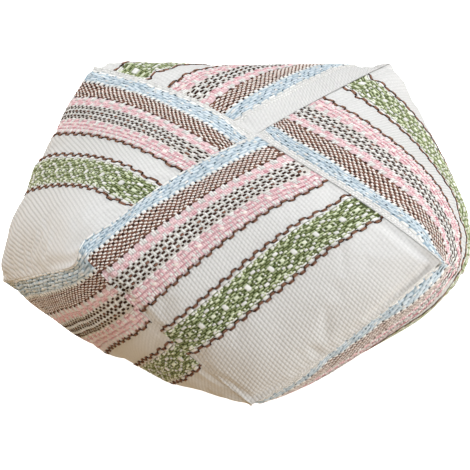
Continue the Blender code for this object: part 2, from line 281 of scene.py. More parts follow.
@dataclass(frozen=True)
class PanelForm:
    """The smooth form of one panel, between its four sewn edges.

    The near edge is the blue edge of the stripes, at across = 0. The start and finish
    edges cross the stripes, at along = 0 and 1.
    """

    name: str
    shape: "PoufShape"
    near: SeamCurve
    far: SeamCurve
    start: SeamCurve
    finish: SeamCurve
    push: Array
    crown: float
    power: float
    upper: bool
    middle: Array
    fold_margin: float = 0.04
    lip_margin: float = 0.03
    droop_reach: float = 0.25
    droop_start_power: float = 30.0
    droop_end_power: float = 1.1
    lobe_reach: float = 0.15
    lobe_end_power: float = 90.0

    def net(self, spots: Spots) -> Array:
        """Find the slack net between the seams (a Coons patch).

        Args:
            spots: Places on the panel.

        Returns:
            The points, one a row.
        """
        along, across = spots
        u = along[:, None]
        v = across[:, None]
        ends = np.array([0.0, 1.0])
        near_0, near_1 = self.near(ends)
        far_0, far_1 = self.far(ends)
        points = (1.0 - v) * self.near(along) + v * self.far(along)
        points = points + (1.0 - u) * self.start(across) + u * self.finish(across)
        points = points - (1.0 - u) * (1.0 - v) * near_0 - u * (1.0 - v) * near_1
        return points - (1.0 - u) * v * far_0 - u * v * far_1

    def relief(self, spots: Spots) -> Array:
        """Find how far the filling, folds and stitching lift points off the net.

        Args:
            spots: Places on the panel.

        Returns:
            The lift of each point, in metres.
        """
        shape = self.shape
        along, across = spots
        rim = spots.rim()
        full = 1.0 - np.abs(2.0 * along - 1.0) ** self.power
        full = full * (1.0 - np.abs(2.0 * across - 1.0) ** self.power)
        folds = np.zeros_like(along)
        for fold in FOLDS[self.name]:
            folds += fold.lift(spots)
        half = 0.5 * shape.channel_width
        trough = fade(np.abs(rim * shape.panel_side - half), half)
        lift = self.crown * full + folds * np.clip(rim / self.fold_margin, 0.0, 1.0)
        lift = lift - shape.channel_depth * trough
        if self.upper:
            lip = fade(np.hypot(1.0 - along, across), shape.lip_reach)
            lift = lift + shape.lip_raise * lip * np.clip(rim / self.lip_margin, 0.0, 1.0)
        return lift

    def droop(self, spots: Spots) -> Array:
        """Find how far points hang down beside the front left shoulder.

        Args:
            spots: Places on the panel.

        Returns:
            The move of each point, in metres, one a row.
        """
        if self.name not in HUNG_SEAM:
            return np.zeros((len(spots.along), 3))
        back = 1.0 - spots.along
        share = (1.0 - back**self.droop_start_power) * back**self.droop_end_power
        near = np.clip(1.0 - np.abs(spots.across - HUNG_SEAM[self.name]) / self.droop_reach, 0.0, 1.0)
        return np.outer(share * near**2, HANG)

    def lobe(self, spots: Spots) -> Array:
        """Find how far points swell out beside a shoulder.

        Args:
            spots: Places on the panel.

        Returns:
            The move of each point, in metres, one a row.
        """
        swollen = np.zeros((len(spots.along), 3))
        for lobe in LOBES:
            if self.name == lobe.along_panel:
                place, off = spots
            elif self.name == lobe.across_panel:
                off, place = spots
            else:
                continue
            share = (1.0 - place**self.lobe_end_power) * fade(np.abs(place - lobe.middle), lobe.length)
            near = np.clip(1.0 - off / self.lobe_reach, 0.0, 1.0)
            swollen += np.outer(share * near**2, [lobe.x, lobe.y, lobe.z])
        return swollen

    def points(self, spots: Spots) -> Array:
        """Find the panel's points in the shared frame.

        Args:
            spots: Places on the panel.

        Returns:
            The points, one a row.
        """
        points = self.net(spots) + self.relief(spots)[:, None] * self.push
        points = points + self.droop(spots) + self.lobe(spots)
        if not self.upper:
            height = points[:, 2]
            soft = self.shape.floor_softness
            rounded = (height + soft) ** 2 / (4.0 * soft)
            pressed = np.where(height < soft, rounded, height)
            points[:, 2] = np.where(height < -soft, 0.0, pressed)
        return points - self.middle


@dataclass(frozen=True)
class PoufShape:
    """The sewn net of the pouf, with the same sizes and formulas as its solids."""

    panel_side: float = 0.260
    shoulder_take_up: float = 0.005
    low_corner_take_up: float = 0.011
    crown_height: float = 0.281
    shoulder_height: float = 0.244
    low_corner_height: float = 0.069
    heart_height: float = 0.125
    upper_crown: float = 0.036
    upper_crown_lean: float = math.radians(26.0)
    upper_crown_power: float = 4.0
    lower_crown: float = 0.023
    lower_crown_lean: float = math.radians(-59.0)
    lower_crown_power: float = 3.0
    top_seam_swirl: float = 0.008
    top_seam_drop_power: float = 2.0
    base_seam_lift_power: float = 3.0
    side_seam_bow: float = 0.007
    channel_depth: float = 0.0015
    channel_width: float = 0.012
    lip_raise: float = 0.005
    lip_reach: float = 0.16
    base_sag: float = 0.003
    floor_softness: float = 0.003
    solid_cells: int = 22
    solid_crowding: float = 0.6

    def corners(self) -> dict[str, Array]:
        """Place the ten corners where the panels meet.

        Returns:
            The corners, by name.
        """
        found = {
            "crown": np.array([0.0, 0.0, self.crown_height]),
            "base": np.array([0.0, 0.0, -self.base_sag]),
        }
        for turn in range(4):
            shoulder = (self.panel_side - self.shoulder_take_up) * compass(-135.0 + 90.0 * turn)
            low = (self.panel_side - self.low_corner_take_up) * compass(-90.0 + 90.0 * turn)
            found[f"shoulder_{turn}"] = shoulder + [0.0, 0.0, self.shoulder_height]
            found[f"low_{turn}"] = low + [0.0, 0.0, self.low_corner_height]
        for shift in CORNER_SHIFTS:
            found[shift.corner] = found[shift.corner] + [shift.x, shift.y, shift.z]
        return found

    def top_seam(self, crown: Array, shoulder: Array, place: Array) -> Array:
        """Follow a seam that swirls from the middle of the top down to a shoulder.

        Args:
            crown: The middle of the top.
            shoulder: The shoulder corner.
            place: Places along the seam, from 0 to 1.

        Returns:
            The points there, one a row.
        """
        run = shoulder - crown
        clockwise = unit(np.array([run[1], -run[0], 0.0]))
        points = crown + np.outer(place, run)
        points[:, 2] = crown[2] + run[2] * place**self.top_seam_drop_power
        return points + np.outer(self.top_seam_swirl * np.sin(math.pi * place), clockwise)

    def base_seam(self, low: Array, base: Array, place: Array) -> Array:
        """Follow a seam that comes down from a low corner and meets the middle of the base.

        Args:
            low: The low corner.
            base: The middle of the base.
            place: Places along the seam, from 0 to 1.

        Returns:
            The points there, one a row.
        """
        back = 1.0 - place
        points = base + np.outer(back, low - base)
        points[:, 2] = base[2] + (low[2] - base[2]) * back**self.base_seam_lift_power
        return points

    def side_seam(self, start: Array, end: Array, place: Array) -> Array:
        """Follow a seam down the side, bowed out a little by the filling.

        Args:
            start: The corner that it starts from.
            end: The corner that it ends at.
            place: Places along the seam, from 0 to 1.

        Returns:
            The points there, one a row.
        """
        outward = unit((start + end) * [1.0, 1.0, 0.0])
        bow = self.side_seam_bow * 4.0 * place * (1.0 - place)
        return start + np.outer(place, end - start) + np.outer(bow, outward)

    def form(self, name: str, edges: tuple[SeamCurve, ...], heading: float, middle: Array) -> PanelForm:
        """Put one panel's form together.

        Args:
            name: The panel's name.
            edges: Its near, far, start and finish seams.
            heading: The way that it faces, in degrees from +X towards +Y.
            middle: The middle of the net's box, which comes to lie on the Z axis.

        Returns:
            The panel's form.
        """
        upper = name in UPPER_NAMES
        lean = self.upper_crown_lean if upper else self.lower_crown_lean
        push = compass(heading) * math.cos(lean)
        push[2] = math.sin(lean)
        crown = self.upper_crown if upper else self.lower_crown
        power = self.upper_crown_power if upper else self.lower_crown_power
        return PanelForm(name, self, *edges, push, crown, power, upper, middle)

    def forms(self, middle: Array) -> list[PanelForm]:
        """Make the forms of all eight panels.

        Args:
            middle: The middle of the net's box, which comes to lie on the Z axis.

        Returns:
            The forms, upper and lower panels by turns.
        """
        at = self.corners()
        made = []
        for turn in range(4):
            own = at[f"shoulder_{turn}"]
            following = at[f"shoulder_{(turn + 1) % 4}"]
            low = at[f"low_{turn}"]
            low_before = at[f"low_{(turn + 3) % 4}"]
            upper_edges = (
                partial(self.top_seam, at["crown"], own),
                partial(self.side_seam, following, low),
                partial(self.top_seam, at["crown"], following),
                partial(self.side_seam, own, low),
            )
            lower_edges = (
                partial(self.side_seam, own, low_before),
                partial(self.base_seam, low, at["base"]),
                partial(self.side_seam, own, low),
                partial(self.base_seam, low_before, at["base"]),
            )
            made.append(self.form(UPPER_NAMES[turn], upper_edges, -90.0 + 90.0 * turn, middle))
            made.append(self.form(LOWER_NAMES[turn], lower_edges, -135.0 + 90.0 * turn, middle))
        return made

    def middle(self) -> Array:
        """Find the middle of the solids' box on the floor, before it is moved to the Z axis.

        Returns:
            The middle.
        """
        even = np.linspace(0.0, 1.0, self.solid_cells + 1)
        crowded = 0.5 - 0.5 * np.cos(math.pi * even)
        steps = (1.0 - self.solid_crowding) * even + self.solid_crowding * crowded
        spots = spot_grid(steps, steps)
        cloud = np.concatenate([form.points(spots) for form in self.forms(np.zeros(3))])
        return 0.5 * (cloud.min(axis=0) + cloud.max(axis=0)) * [1.0, 1.0, 0.0]


@dataclass(frozen=True)
class Swelling:
    """Blows the sewn net up against its seams with Blender's cloth simulation.

    The net starts a little slack and swells under the pressure of the filling, held at
    the seams and where it stands on the floor. No point moves further than the cap.
    """

    cells: int = 40
    pressure: float = 4.0
    last_frame: int = 20
    cap: float = 0.004
    floor_band: float = 0.002
    finer: int = 4
    slack: float = 0.90

    def grid(self) -> Spots:
        """List the places of one panel's points."""
        steps = np.linspace(0.0, 1.0, self.cells + 1)
        return spot_grid(steps, steps)

    def weld(self, forms: list[PanelForm]) -> tuple[Array, Array]:
        """Join the panels' grids at their shared seams.

        Args:
            forms: The panels.

        Returns:
            The points of the joined net, and for each panel's point its place in it.
        """
        cloud = np.concatenate([form.points(self.grid()) for form in forms])
        _, first, place = np.unique(np.round(cloud, 6), axis=0, return_index=True, return_inverse=True)
        return cloud[first], place.ravel()

    def run(self, forms: list[PanelForm]) -> dict[str, Array]:
        """Swell the net, and remember how far each panel's points went.

        Args:
            forms: The panels.

        Returns:
            For each panel, a fine grid of shifts, [along][across].
        """
        full, place = self.weld(forms)
        points = full.copy()
        index = place.reshape(len(forms), self.cells + 1, self.cells + 1)
        for own, form in zip(index, forms):
            slack = replace(form, crown=form.crown * self.slack)
            points[own.ravel()] = slack.points(self.grid())
        mesh = bpy.data.meshes.new("swelling_net")
        quads = np.concatenate([grid_quads(own) for own in index])
        mesh.from_pydata(points.tolist(), [], quads.tolist())
        net = add_object(mesh)

        rim = self.grid().rim() < 0.5 / self.cells
        held = np.unique(place[np.tile(rim, len(forms))])
        held = np.union1d(held, np.flatnonzero(points[:, 2] < self.floor_band))
        pins = net.vertex_groups.new(name="seams_and_floor")
        pins.add([int(number) for number in held], 1.0, "REPLACE")
        self.set_cloth(net, pins.name)
        scene = bpy.context.scene
        for step in range(1, self.last_frame + 1):
            scene.frame_set(step)
        swollen = net.evaluated_get(bpy.context.evaluated_depsgraph_get()).to_mesh()
        moved = np.empty(len(points) * 3, np.float32)
        swollen.vertices.foreach_get("co", moved)
        shift = moved.reshape(-1, 3) - points
        bpy.data.objects.remove(net, do_unlink=True)
        bpy.data.meshes.remove(mesh)
        scene.frame_set(1)

        far = np.linalg.norm(shift, axis=1, keepdims=True)
        LOG.info("swelling moves the cloth %.1f mm at most before the cap", far.max() / MM)
        shift = shift * (self.cap * np.tanh(far / self.cap) / np.maximum(far, 1e-9)) + points - full
        return dict(zip([form.name for form in forms], self.spread(shift[index])))

    def set_cloth(self, net: Object, pins: str) -> None:
        """Put the cloth simulation on the net.

        Args:
            net: The net.
            pins: The vertex group that holds still.
        """
        cloth = net.modifiers.new("filling_pressure", "CLOTH")
        cloth.settings.quality = 5
        cloth.settings.mass = 0.3
        cloth.settings.tension_stiffness = 15.0
        cloth.settings.compression_stiffness = 15.0
        cloth.settings.shear_stiffness = 5.0
        cloth.settings.bending_stiffness = 0.5
        cloth.settings.shrink_min = -0.015
        cloth.settings.shrink_max = -0.015
        cloth.settings.use_pressure = True
        cloth.settings.uniform_pressure_force = self.pressure
        cloth.settings.effector_weights.gravity = 0.0
        cloth.settings.vertex_group_mass = pins
        cloth.collision_settings.use_self_collision = False
        cloth.point_cache.frame_start = 1
        cloth.point_cache.frame_end = self.last_frame

    def spread(self, shift: Array) -> Array:
        """Fit smooth curves through the net's shifts (Catmull-Rom), for a finer grid.

        Args:
            shift: The shifts, [panel][along][across].

        Returns:
            The same shifts on a finer grid.
        """
        fine = self.cells * self.finer + 1
        weight = np.zeros((fine, self.cells + 1))
        for row in range(fine):
            place = min(row / self.finer, self.cells - 1e-9)
            cell = int(place)
            t = place - cell
            pull = (
                -0.5 * t + t**2 - 0.5 * t**3,
                1.0 - 2.5 * t**2 + 1.5 * t**3,
                0.5 * t + 2.0 * t**2 - 1.5 * t**3,
                -0.5 * t**2 + 0.5 * t**3,
            )
            for offset, share in enumerate(pull):
                weight[row, min(max(cell - 1 + offset, 0), self.cells)] += share
        return np.einsum("ia,pabk,jb->pijk", weight, shift, weight, optimize=True)


@dataclass(frozen=True)
class SewnPanel:
    """One panel as it is sewn and stuffed: its form, its swell, and its puckered seam edges."""

    form: PanelForm
    swell: Array | None
    heart: Array
    roll_radius: float = 0.00005
    lip_raise: float = 0.0011
    lip_reach: float = 0.010
    pucker_rise: float = 0.0003
    pucker_reach: float = 0.012
    pucker_pitch: float = 0.016
    pucker_fall: float = 2.2
    second_rise: float = 0.6
    second_beat: float = 1.73
    second_turn: float = 2.1
    sway_rise: float = 0.0005
    sway_waves: int = 14
    sway_beats: tuple[float, float] = (1.5, 5.5)
    sway_margin: float = 0.06
    seam_inset: float = 0.00001
    slope_step: float = 0.0015

    def sway(self, spots: Spots) -> Array:
        """Find the slight unevenness of hand-stuffed cloth.

        Args:
            spots: Places on the panel.

        Returns:
            The lift of each point, in metres.
        """
        chance = chance_for(self.form.name)
        total = np.zeros_like(spots.along)
        for _ in range(self.sway_waves):
            heading = chance.uniform(0.0, math.tau)
            waves = chance.uniform(*self.sway_beats)
            phase = chance.uniform(0.0, math.tau)
            run = spots.along * math.cos(heading) + spots.across * math.sin(heading)
            total += np.sin(math.tau * waves * run + phase)
        inside = np.clip(spots.rim() / self.sway_margin, 0.0, 1.0)
        return self.sway_rise * total / math.sqrt(self.sway_waves) * inside

    def pucker(self, spots: Spots) -> Array:
        """Find the small puckers that the stitching gathers beside the seams.

        Args:
            spots: Places on the panel.

        Returns:
            The lift of each point, in metres.
        """
        along, across = spots
        side = self.form.shape.panel_side
        total = np.zeros_like(along)
        edges = ((along, across), (1.0 - along, across), (across, along), (1.0 - across, along))
        for number, (off, place) in enumerate(edges):
            beat = place * side / self.pucker_pitch * math.tau
            second = self.second_rise * np.sin(self.second_beat * beat + self.second_turn * number)
            depth = off * side / self.pucker_reach
            total += (np.sin(beat + number) + second) * depth * np.exp(1.0 - self.pucker_fall * depth)
        return self.pucker_rise * total

    def points(self, spots: Spots) -> Array:
        """Find the sewn panel's points.

        Args:
            spots: Places on the panel.

        Returns:
            The points, one a row.
        """
        side = self.form.shape.panel_side
        spots = spots.held(self.seam_inset / side)
        points = self.form.points(spots)
        if self.swell is not None:
            points = points + self.swell_at(spots)
        lift = self.sway(spots) + self.pucker(spots)
        points = points + lift[:, None] * self.form.push
        if self.form.upper:
            points[:, 2] += self.lip_raise * np.exp(-spots.across * side / self.lip_reach)
        short = np.clip(self.roll_radius - spots.rim() * side, 0.0, self.roll_radius)
        depth = self.roll_radius - np.sqrt(self.roll_radius**2 - short**2)
        return points + depth[:, None] * unit(self.heart - points)

    def swell_at(self, spots: Spots) -> Array:
        """Read the swell's fine grid between its points.

        Args:
            spots: Places on the panel.

        Returns:
            The shifts, one a row.
        """
        last = len(self.swell) - 1
        a = np.clip(spots.along * last, 0.0, last - 1e-6)
        b = np.clip(spots.across * last, 0.0, last - 1e-6)
        i = a.astype(int)
        j = b.astype(int)
        s = (a - i)[:, None]
        t = (b - j)[:, None]
        low = (1.0 - t) * self.swell[i, j] + t * self.swell[i, j + 1]
        high = (1.0 - t) * self.swell[i + 1, j] + t * self.swell[i + 1, j + 1]
        return (1.0 - s) * low + s * high

    def surface(self, spots: Spots) -> tuple[Array, Array]:
        """Find points of the sewn panel and the way that they face.

        Args:
            spots: Places on the panel.

        Returns:
            The points and their outward unit normals.
        """
        step = self.slope_step
        along, across = spots
        ahead = self.points(Spots(np.minimum(along + step, 1.0), across))
        behind = self.points(Spots(np.maximum(along - step, 0.0), across))
        right = self.points(Spots(along, np.minimum(across + step, 1.0)))
        left = self.points(Spots(along, np.maximum(across - step, 0.0)))
        return self.points(spots), unit(np.cross(ahead - behind, right - left))


class Lie(NamedTuple):
    """Where the bands of the weave lie at one place along a panel, in mm from its blue edge."""

    along: float
    blue: float
    brown: float
    dots: float
    pink_2: float
    chain_1: float
    chain_2: float
    chain_3: float


# The places of the same bands in the weave chart, in mm from the blue band's edge
CHART_MARKS = Lie(0.0, 0.0, 11.0, 44.0, 65.0, 88.0, 120.2, 165.5)
OUTER_MARGIN_MM = 60.0

# How the bands lie on each sewn panel. Cloth cut and sewn by hand drifts along a seam.
LIES = {
    "top_panel_front": (
        Lie(0, 4, 26, 62, 86, 110, 139, 185),
        Lie(25, 2, 21.5, 56, 78, 101.5, 131, 174),
        Lie(50, 0, 20, 51, 71, 93.5, 123.5, 167.5),
        Lie(100, 0, 16.3, 47.5, 67, 88.7, 120.2, 166.5),
        Lie(150, 0, 14.5, 45.8, 66.5, 88.5, 120.8, 166.6),
        Lie(195, 0, 11.3, 45.2, 66.5, 89.5, 121.8, 166.2),
        Lie(234, 0, 13.3, 45.5, 67.3, 91.4, 122.8, 166.3),
        Lie(260, 0, 12, 45.5, 68, 93, 124, 166.5),
    ),
    "top_panel_left": (
        Lie(0, 8, 26, 60, 80, 101, 131.5, 177),
        Lie(25, 6, 23, 56, 74.5, 95, 123, 168.5),
        Lie(50, 4, 22, 53, 70.5, 91.5, 118.5, 163.5),
        Lie(100, 4, 22, 51, 69, 89, 117, 161),
        Lie(150, 4, 21, 51, 69.5, 90, 118.5, 162.5),
        Lie(200, 4.5, 20, 53, 71, 92.5, 122, 167),
        Lie(260, 5, 21, 56, 74, 95, 126, 171),
    ),
    "top_panel_right": (
        Lie(0, 13, 28, 62, 87, 118, 154, 208),
        Lie(10, 9, 22.5, 54.5, 79, 109, 145, 200),
        Lie(25, 6, 17, 47.8, 71, 99, 136, 191),
        Lie(50, 4.5, 16, 45, 69, 96, 132.5, 187),
        Lie(75, 4.6, 16.8, 48, 73, 101, 137, 191),
        Lie(100, 4.6, 17.2, 53, 79, 110, 146, 200),
        Lie(125, 4.6, 17.6, 58.5, 86.5, 118, 152, 205),
        Lie(150, 5.5, 17, 64, 93, 125, 160, 211),
        Lie(175, 6, 18.5, 66, 96, 127, 163, 214),
        Lie(200, 7.5, 25, 64, 90, 122, 159, 211),
        Lie(222, 8, 29, 63, 88, 120, 157, 209),
        Lie(240, 4, 26, 62, 87, 119, 155, 207),
        Lie(260, 2, 24, 61, 86, 118, 154, 206),
    ),
    "top_panel_back": (
        Lie(0, 36, 55, 96, 121, 148, 183, 230),
        Lie(25, 25, 44, 84, 109, 136, 170, 216),
        Lie(50, 22, 40, 78.5, 102.5, 129, 160, 206),
        Lie(100, 23, 41.5, 75, 98.5, 124, 156, 202),
        Lie(150, 25, 44, 75, 97, 122, 154, 200),
        Lie(260, 25, 40, 71, 93, 118, 150, 196),
    ),
    "bottom_panel_front_left": (
        Lie(0, 0, 27, 62, 85, 110, 142, 186),
        Lie(20, 1.5, 23.5, 58, 81, 105, 137, 181),
        Lie(50, 0.5, 21.5, 55, 77, 100, 132, 176),
        Lie(100, 0, 20, 54, 76, 99, 132, 175),
        Lie(150, 1, 20.5, 53.5, 75, 104, 136, 178),
        Lie(200, 1.5, 21, 54, 76, 105, 136, 178),
        Lie(260, 3, 23, 55, 76, 103, 134, 178),
    ),
    "bottom_panel_front_right": (
        Lie(0, 16, 50, 76, 98, 120, 152, 196),
        Lie(25, 8, 34, 60, 82, 105, 137, 182),
        Lie(50, 5, 25, 54, 76, 99, 131, 176),
        Lie(75, 2, 17, 49, 71, 94, 126, 171),
        Lie(110, 0.5, 13.5, 49, 71, 94, 126, 171),
        Lie(150, 2, 12.5, 52, 74, 97, 129, 174),
        Lie(175, 5, 15, 52, 74, 97, 129, 174),
        Lie(195, 8, 24, 54, 76, 99, 131, 176),
        Lie(215, 12, 29, 56, 78, 101, 133, 178),
        Lie(260, 20, 36, 64, 86, 109, 141, 186),
    ),
    "bottom_panel_back_right": (
        Lie(0, 6, 19, 52, 73, 96, 128, 173),
        Lie(130, 5, 17, 50, 71, 94, 126, 171),
        Lie(260, 6, 19, 52, 73, 96, 128, 173),
    ),
    "bottom_panel_back_left": (
        Lie(0, 7, 20, 53, 74, 97, 129, 174),
        Lie(130, 6, 18, 51, 72, 95, 127, 172),
        Lie(260, 6, 18, 51, 72, 95, 127, 172),
    ),
}


class Beat(NamedTuple):
    """How the weave's repeat falls along a panel, in mm, and how far its floats stop short of a seam."""

    lozenge: float
    repeat: float
    sag: float
    bare: float = 0.0


BEATS = {
    "top_panel_front": Beat(254.5, 32.5, -4.5, 8.0),
    "top_panel_left": Beat(250.0, 31.5, -3.0),
    "top_panel_right": Beat(39.5, 31.0, 0.0),
    "top_panel_back": Beat(40.0, 32.0, 0.0),
    "bottom_panel_front_left": Beat(12.0, 32.0, 0.0),
    "bottom_panel_front_right": Beat(20.0, 32.0, 0.0),
    "bottom_panel_back_right": Beat(10.0, 32.0, 0.0),
    "bottom_panel_back_left": Beat(26.0, 32.0, 0.0),
}

CELL_MM = 4.0
CELLS_A_REPEAT = 8
REPEAT_MM = CELL_MM * CELLS_A_REPEAT


def smooth_through(place: Array, stations: Array, values: Array) -> Array:
    """Read a smooth curve through stations a hand's width apart (cubic Hermite).

    Args:
        place: Where to read it.
        stations: Where the values hold, in rising order.
        values: The values there.

    Returns:
        The curve's values.
    """
    slopes = np.gradient(values, stations)
    place = np.clip(place, stations[0], stations[-1])
    cell = np.clip(np.searchsorted(stations, place) - 1, 0, len(stations) - 2)
    width = stations[cell + 1] - stations[cell]
    t = (place - stations[cell]) / width
    start = (1.0 + 2.0 * t) * (1.0 - t) ** 2 * values[cell] + t * (1.0 - t) ** 2 * width * slopes[cell]
    end = t**2 * (3.0 - 2.0 * t) * values[cell + 1] - t**2 * (1.0 - t) * width * slopes[cell + 1]
    return start + end


@dataclass(frozen=True)
class WeaveLay:
    """How the woven pattern lies on one sewn panel."""

    lies: tuple[Lie, ...]
    beat: Beat
    side_mm: float

    def marks(self, along_mm: Array) -> tuple[Array, Array]:
        """Find where the chart's marks lie at places along the panel.

        Args:
            along_mm: Places along the panel.

        Returns:
            The marks in the chart, and for each place the marks on the panel.
        """
        stations = np.array([lie.along for lie in self.lies], float)
        table = np.array([lie[1:] for lie in self.lies], float)
        lines = [smooth_through(along_mm, stations, table[:, k]) for k in range(table.shape[1])]
        placed = np.stack([lines[0] - OUTER_MARGIN_MM, *lines, lines[-1] + 2.0 * OUTER_MARGIN_MM], axis=1)
        chart = np.array(CHART_MARKS[1:], float)
        chart = np.concatenate([[chart[0] - OUTER_MARGIN_MM], chart, [chart[-1] + 2.0 * OUTER_MARGIN_MM]])
        return chart, placed

    def to_panel(self, along: Array, across: Array) -> Spots:
        """Carry points of the chart to the panel.

        Args:
            along: Chart places along the stripes, in mm from a lozenge.
            across: Chart places across the stripes, in mm from the blue edge.

        Returns:
            Their places on the panel, also where they lie beyond its seams.
        """
        place = self.beat.lozenge + along * self.beat.repeat / REPEAT_MM
        inside = np.clip(place / self.side_mm, 0.0, 1.0)
        place = place + self.beat.sag * np.sin(math.pi * inside)
        chart, placed = self.marks(place)
        cell = np.clip(np.searchsorted(chart, across) - 1, 0, len(chart) - 2)
        row = np.arange(len(across))
        share = (across - chart[cell]) / (chart[cell + 1] - chart[cell])
        low = placed[row, cell]
        high = placed[row, cell + 1]
        return Spots(place / self.side_mm, (low + share * (high - low)) / self.side_mm)

    def to_chart(self, spots: Spots) -> Array:
        """Carry points of the panel back to the chart.

        Args:
            spots: Places on the panel.

        Returns:
            Their chart places along and across, in mm, one a row.
        """
        along, across = spots
        chart, placed = self.marks(along * self.side_mm)
        wanted = across * self.side_mm
        cell = np.clip((placed < wanted[:, None]).sum(axis=1) - 1, 0, len(chart) - 2)
        row = np.arange(len(across))
        low = placed[row, cell]
        high = placed[row, cell + 1]
        share = (wanted - low) / (high - low)
        back = chart[cell] + share * (chart[cell + 1] - chart[cell])
        flat = along * self.side_mm - self.beat.sag * np.sin(math.pi * np.clip(along, 0.0, 1.0))
        return np.stack([(flat - self.beat.lozenge) * REPEAT_MM / self.beat.repeat, back], axis=1)


def linear_colour(value: str) -> tuple[float, ...]:
    """Turn an sRGB hex colour into the linear colour, with full cover, that a shader takes."""
    parts = (int(value[at : at + 2], 16) / 255.0 for at in (0, 2, 4))
    return (*(p / 12.92 if p <= 0.04045 else ((p + 0.055) / 1.055) ** 2.4 for p in parts), 1.0)


@dataclass(frozen=True)
class YarnFinish:
    """A spun and dyed cotton yarn: its shadow and light tones, its twist, and what makes it uneven."""

    label: str
    shade: str
    light: str
    sheen: float = 0.08
    gloss: float = 0.15
    twist_mm: float = 1.1
    # Painted shade and light of the ply lines: how far the twist moves the tone between the shade and light
    # colours
    twist_share: float = 0.45
    fibre_scale: float = 1.3
    fibre_share: float = 0.35
    dye_share: float = 0.40
    # Painted shade: how much darker a float's rim is drawn, where its edges fall into shadow
    edge_shade_share: float = -0.75
    ply_bump: float = 0.5
    ply_height: float = 0.0003
    roughness: float = 0.9


class Yarn(Enum):
    """The yarns that the weaver has on the bobbins."""

    WHITE = YarnFinish("bleached_cotton", "bdbcb8", "fbfbf9")
    WARM_WHITE = YarnFinish("natural_cotton", "cbbcb2", "fffaf5")
    PALE_BLUE = YarnFinish("pale_blue_cotton", "9fb2be", "e4ecf1")
    SLATE = YarnFinish("slate_cotton", "33454f", "6d8392", 0.02, 0.05)
    BROWN = YarnFinish("brown_cotton", "4a2e23", "9c7260", 0.0, 0.05)
    RUSSET = YarnFinish("russet_cotton", "5c3b2d", "a9806b", 0.0, 0.05)
    DARK = YarnFinish("dark_umber_cotton", "1d1310", "564138", 0.0, 0.05)
    PINK = YarnFinish("pale_pink_cotton", "d6a9b0", "faeaeb")
    ROSE = YarnFinish("rose_cotton", "b05868", "e3a2ac")
    GREEN = YarnFinish("moss_green_cotton", "5c6b40", "d0daae", 0.04, 0.1)
    OLIVE = YarnFinish("olive_cotton", "3e4a2a", "a2ad76", 0.02, 0.1)
    LIGHT_GREEN = YarnFinish("pale_green_cotton", "bac49f", "f5f7ea")


class Row(NamedTuple):
    """One row of the weave chart: like floats at an even pitch along the stripes.

    Places across are in mm from the blue edge, first and every in cells of the weave,
    and a float's length runs along the stripes. Slant is how far its end sits further
    across than its start.
    """

    yarn: Yarn
    rise: float
    across: float
    first: float
    every: float
    length: float
    width: float
    slant: float = 0.0


def rows_of(yarn: Yarn, rise: float, *rows: tuple[float, ...]) -> list[Row]:
    """Lay rows of one yarn and rise, each given by its place across, first, every, length and width."""
    return [Row(yarn, rise, *row) for row in rows]


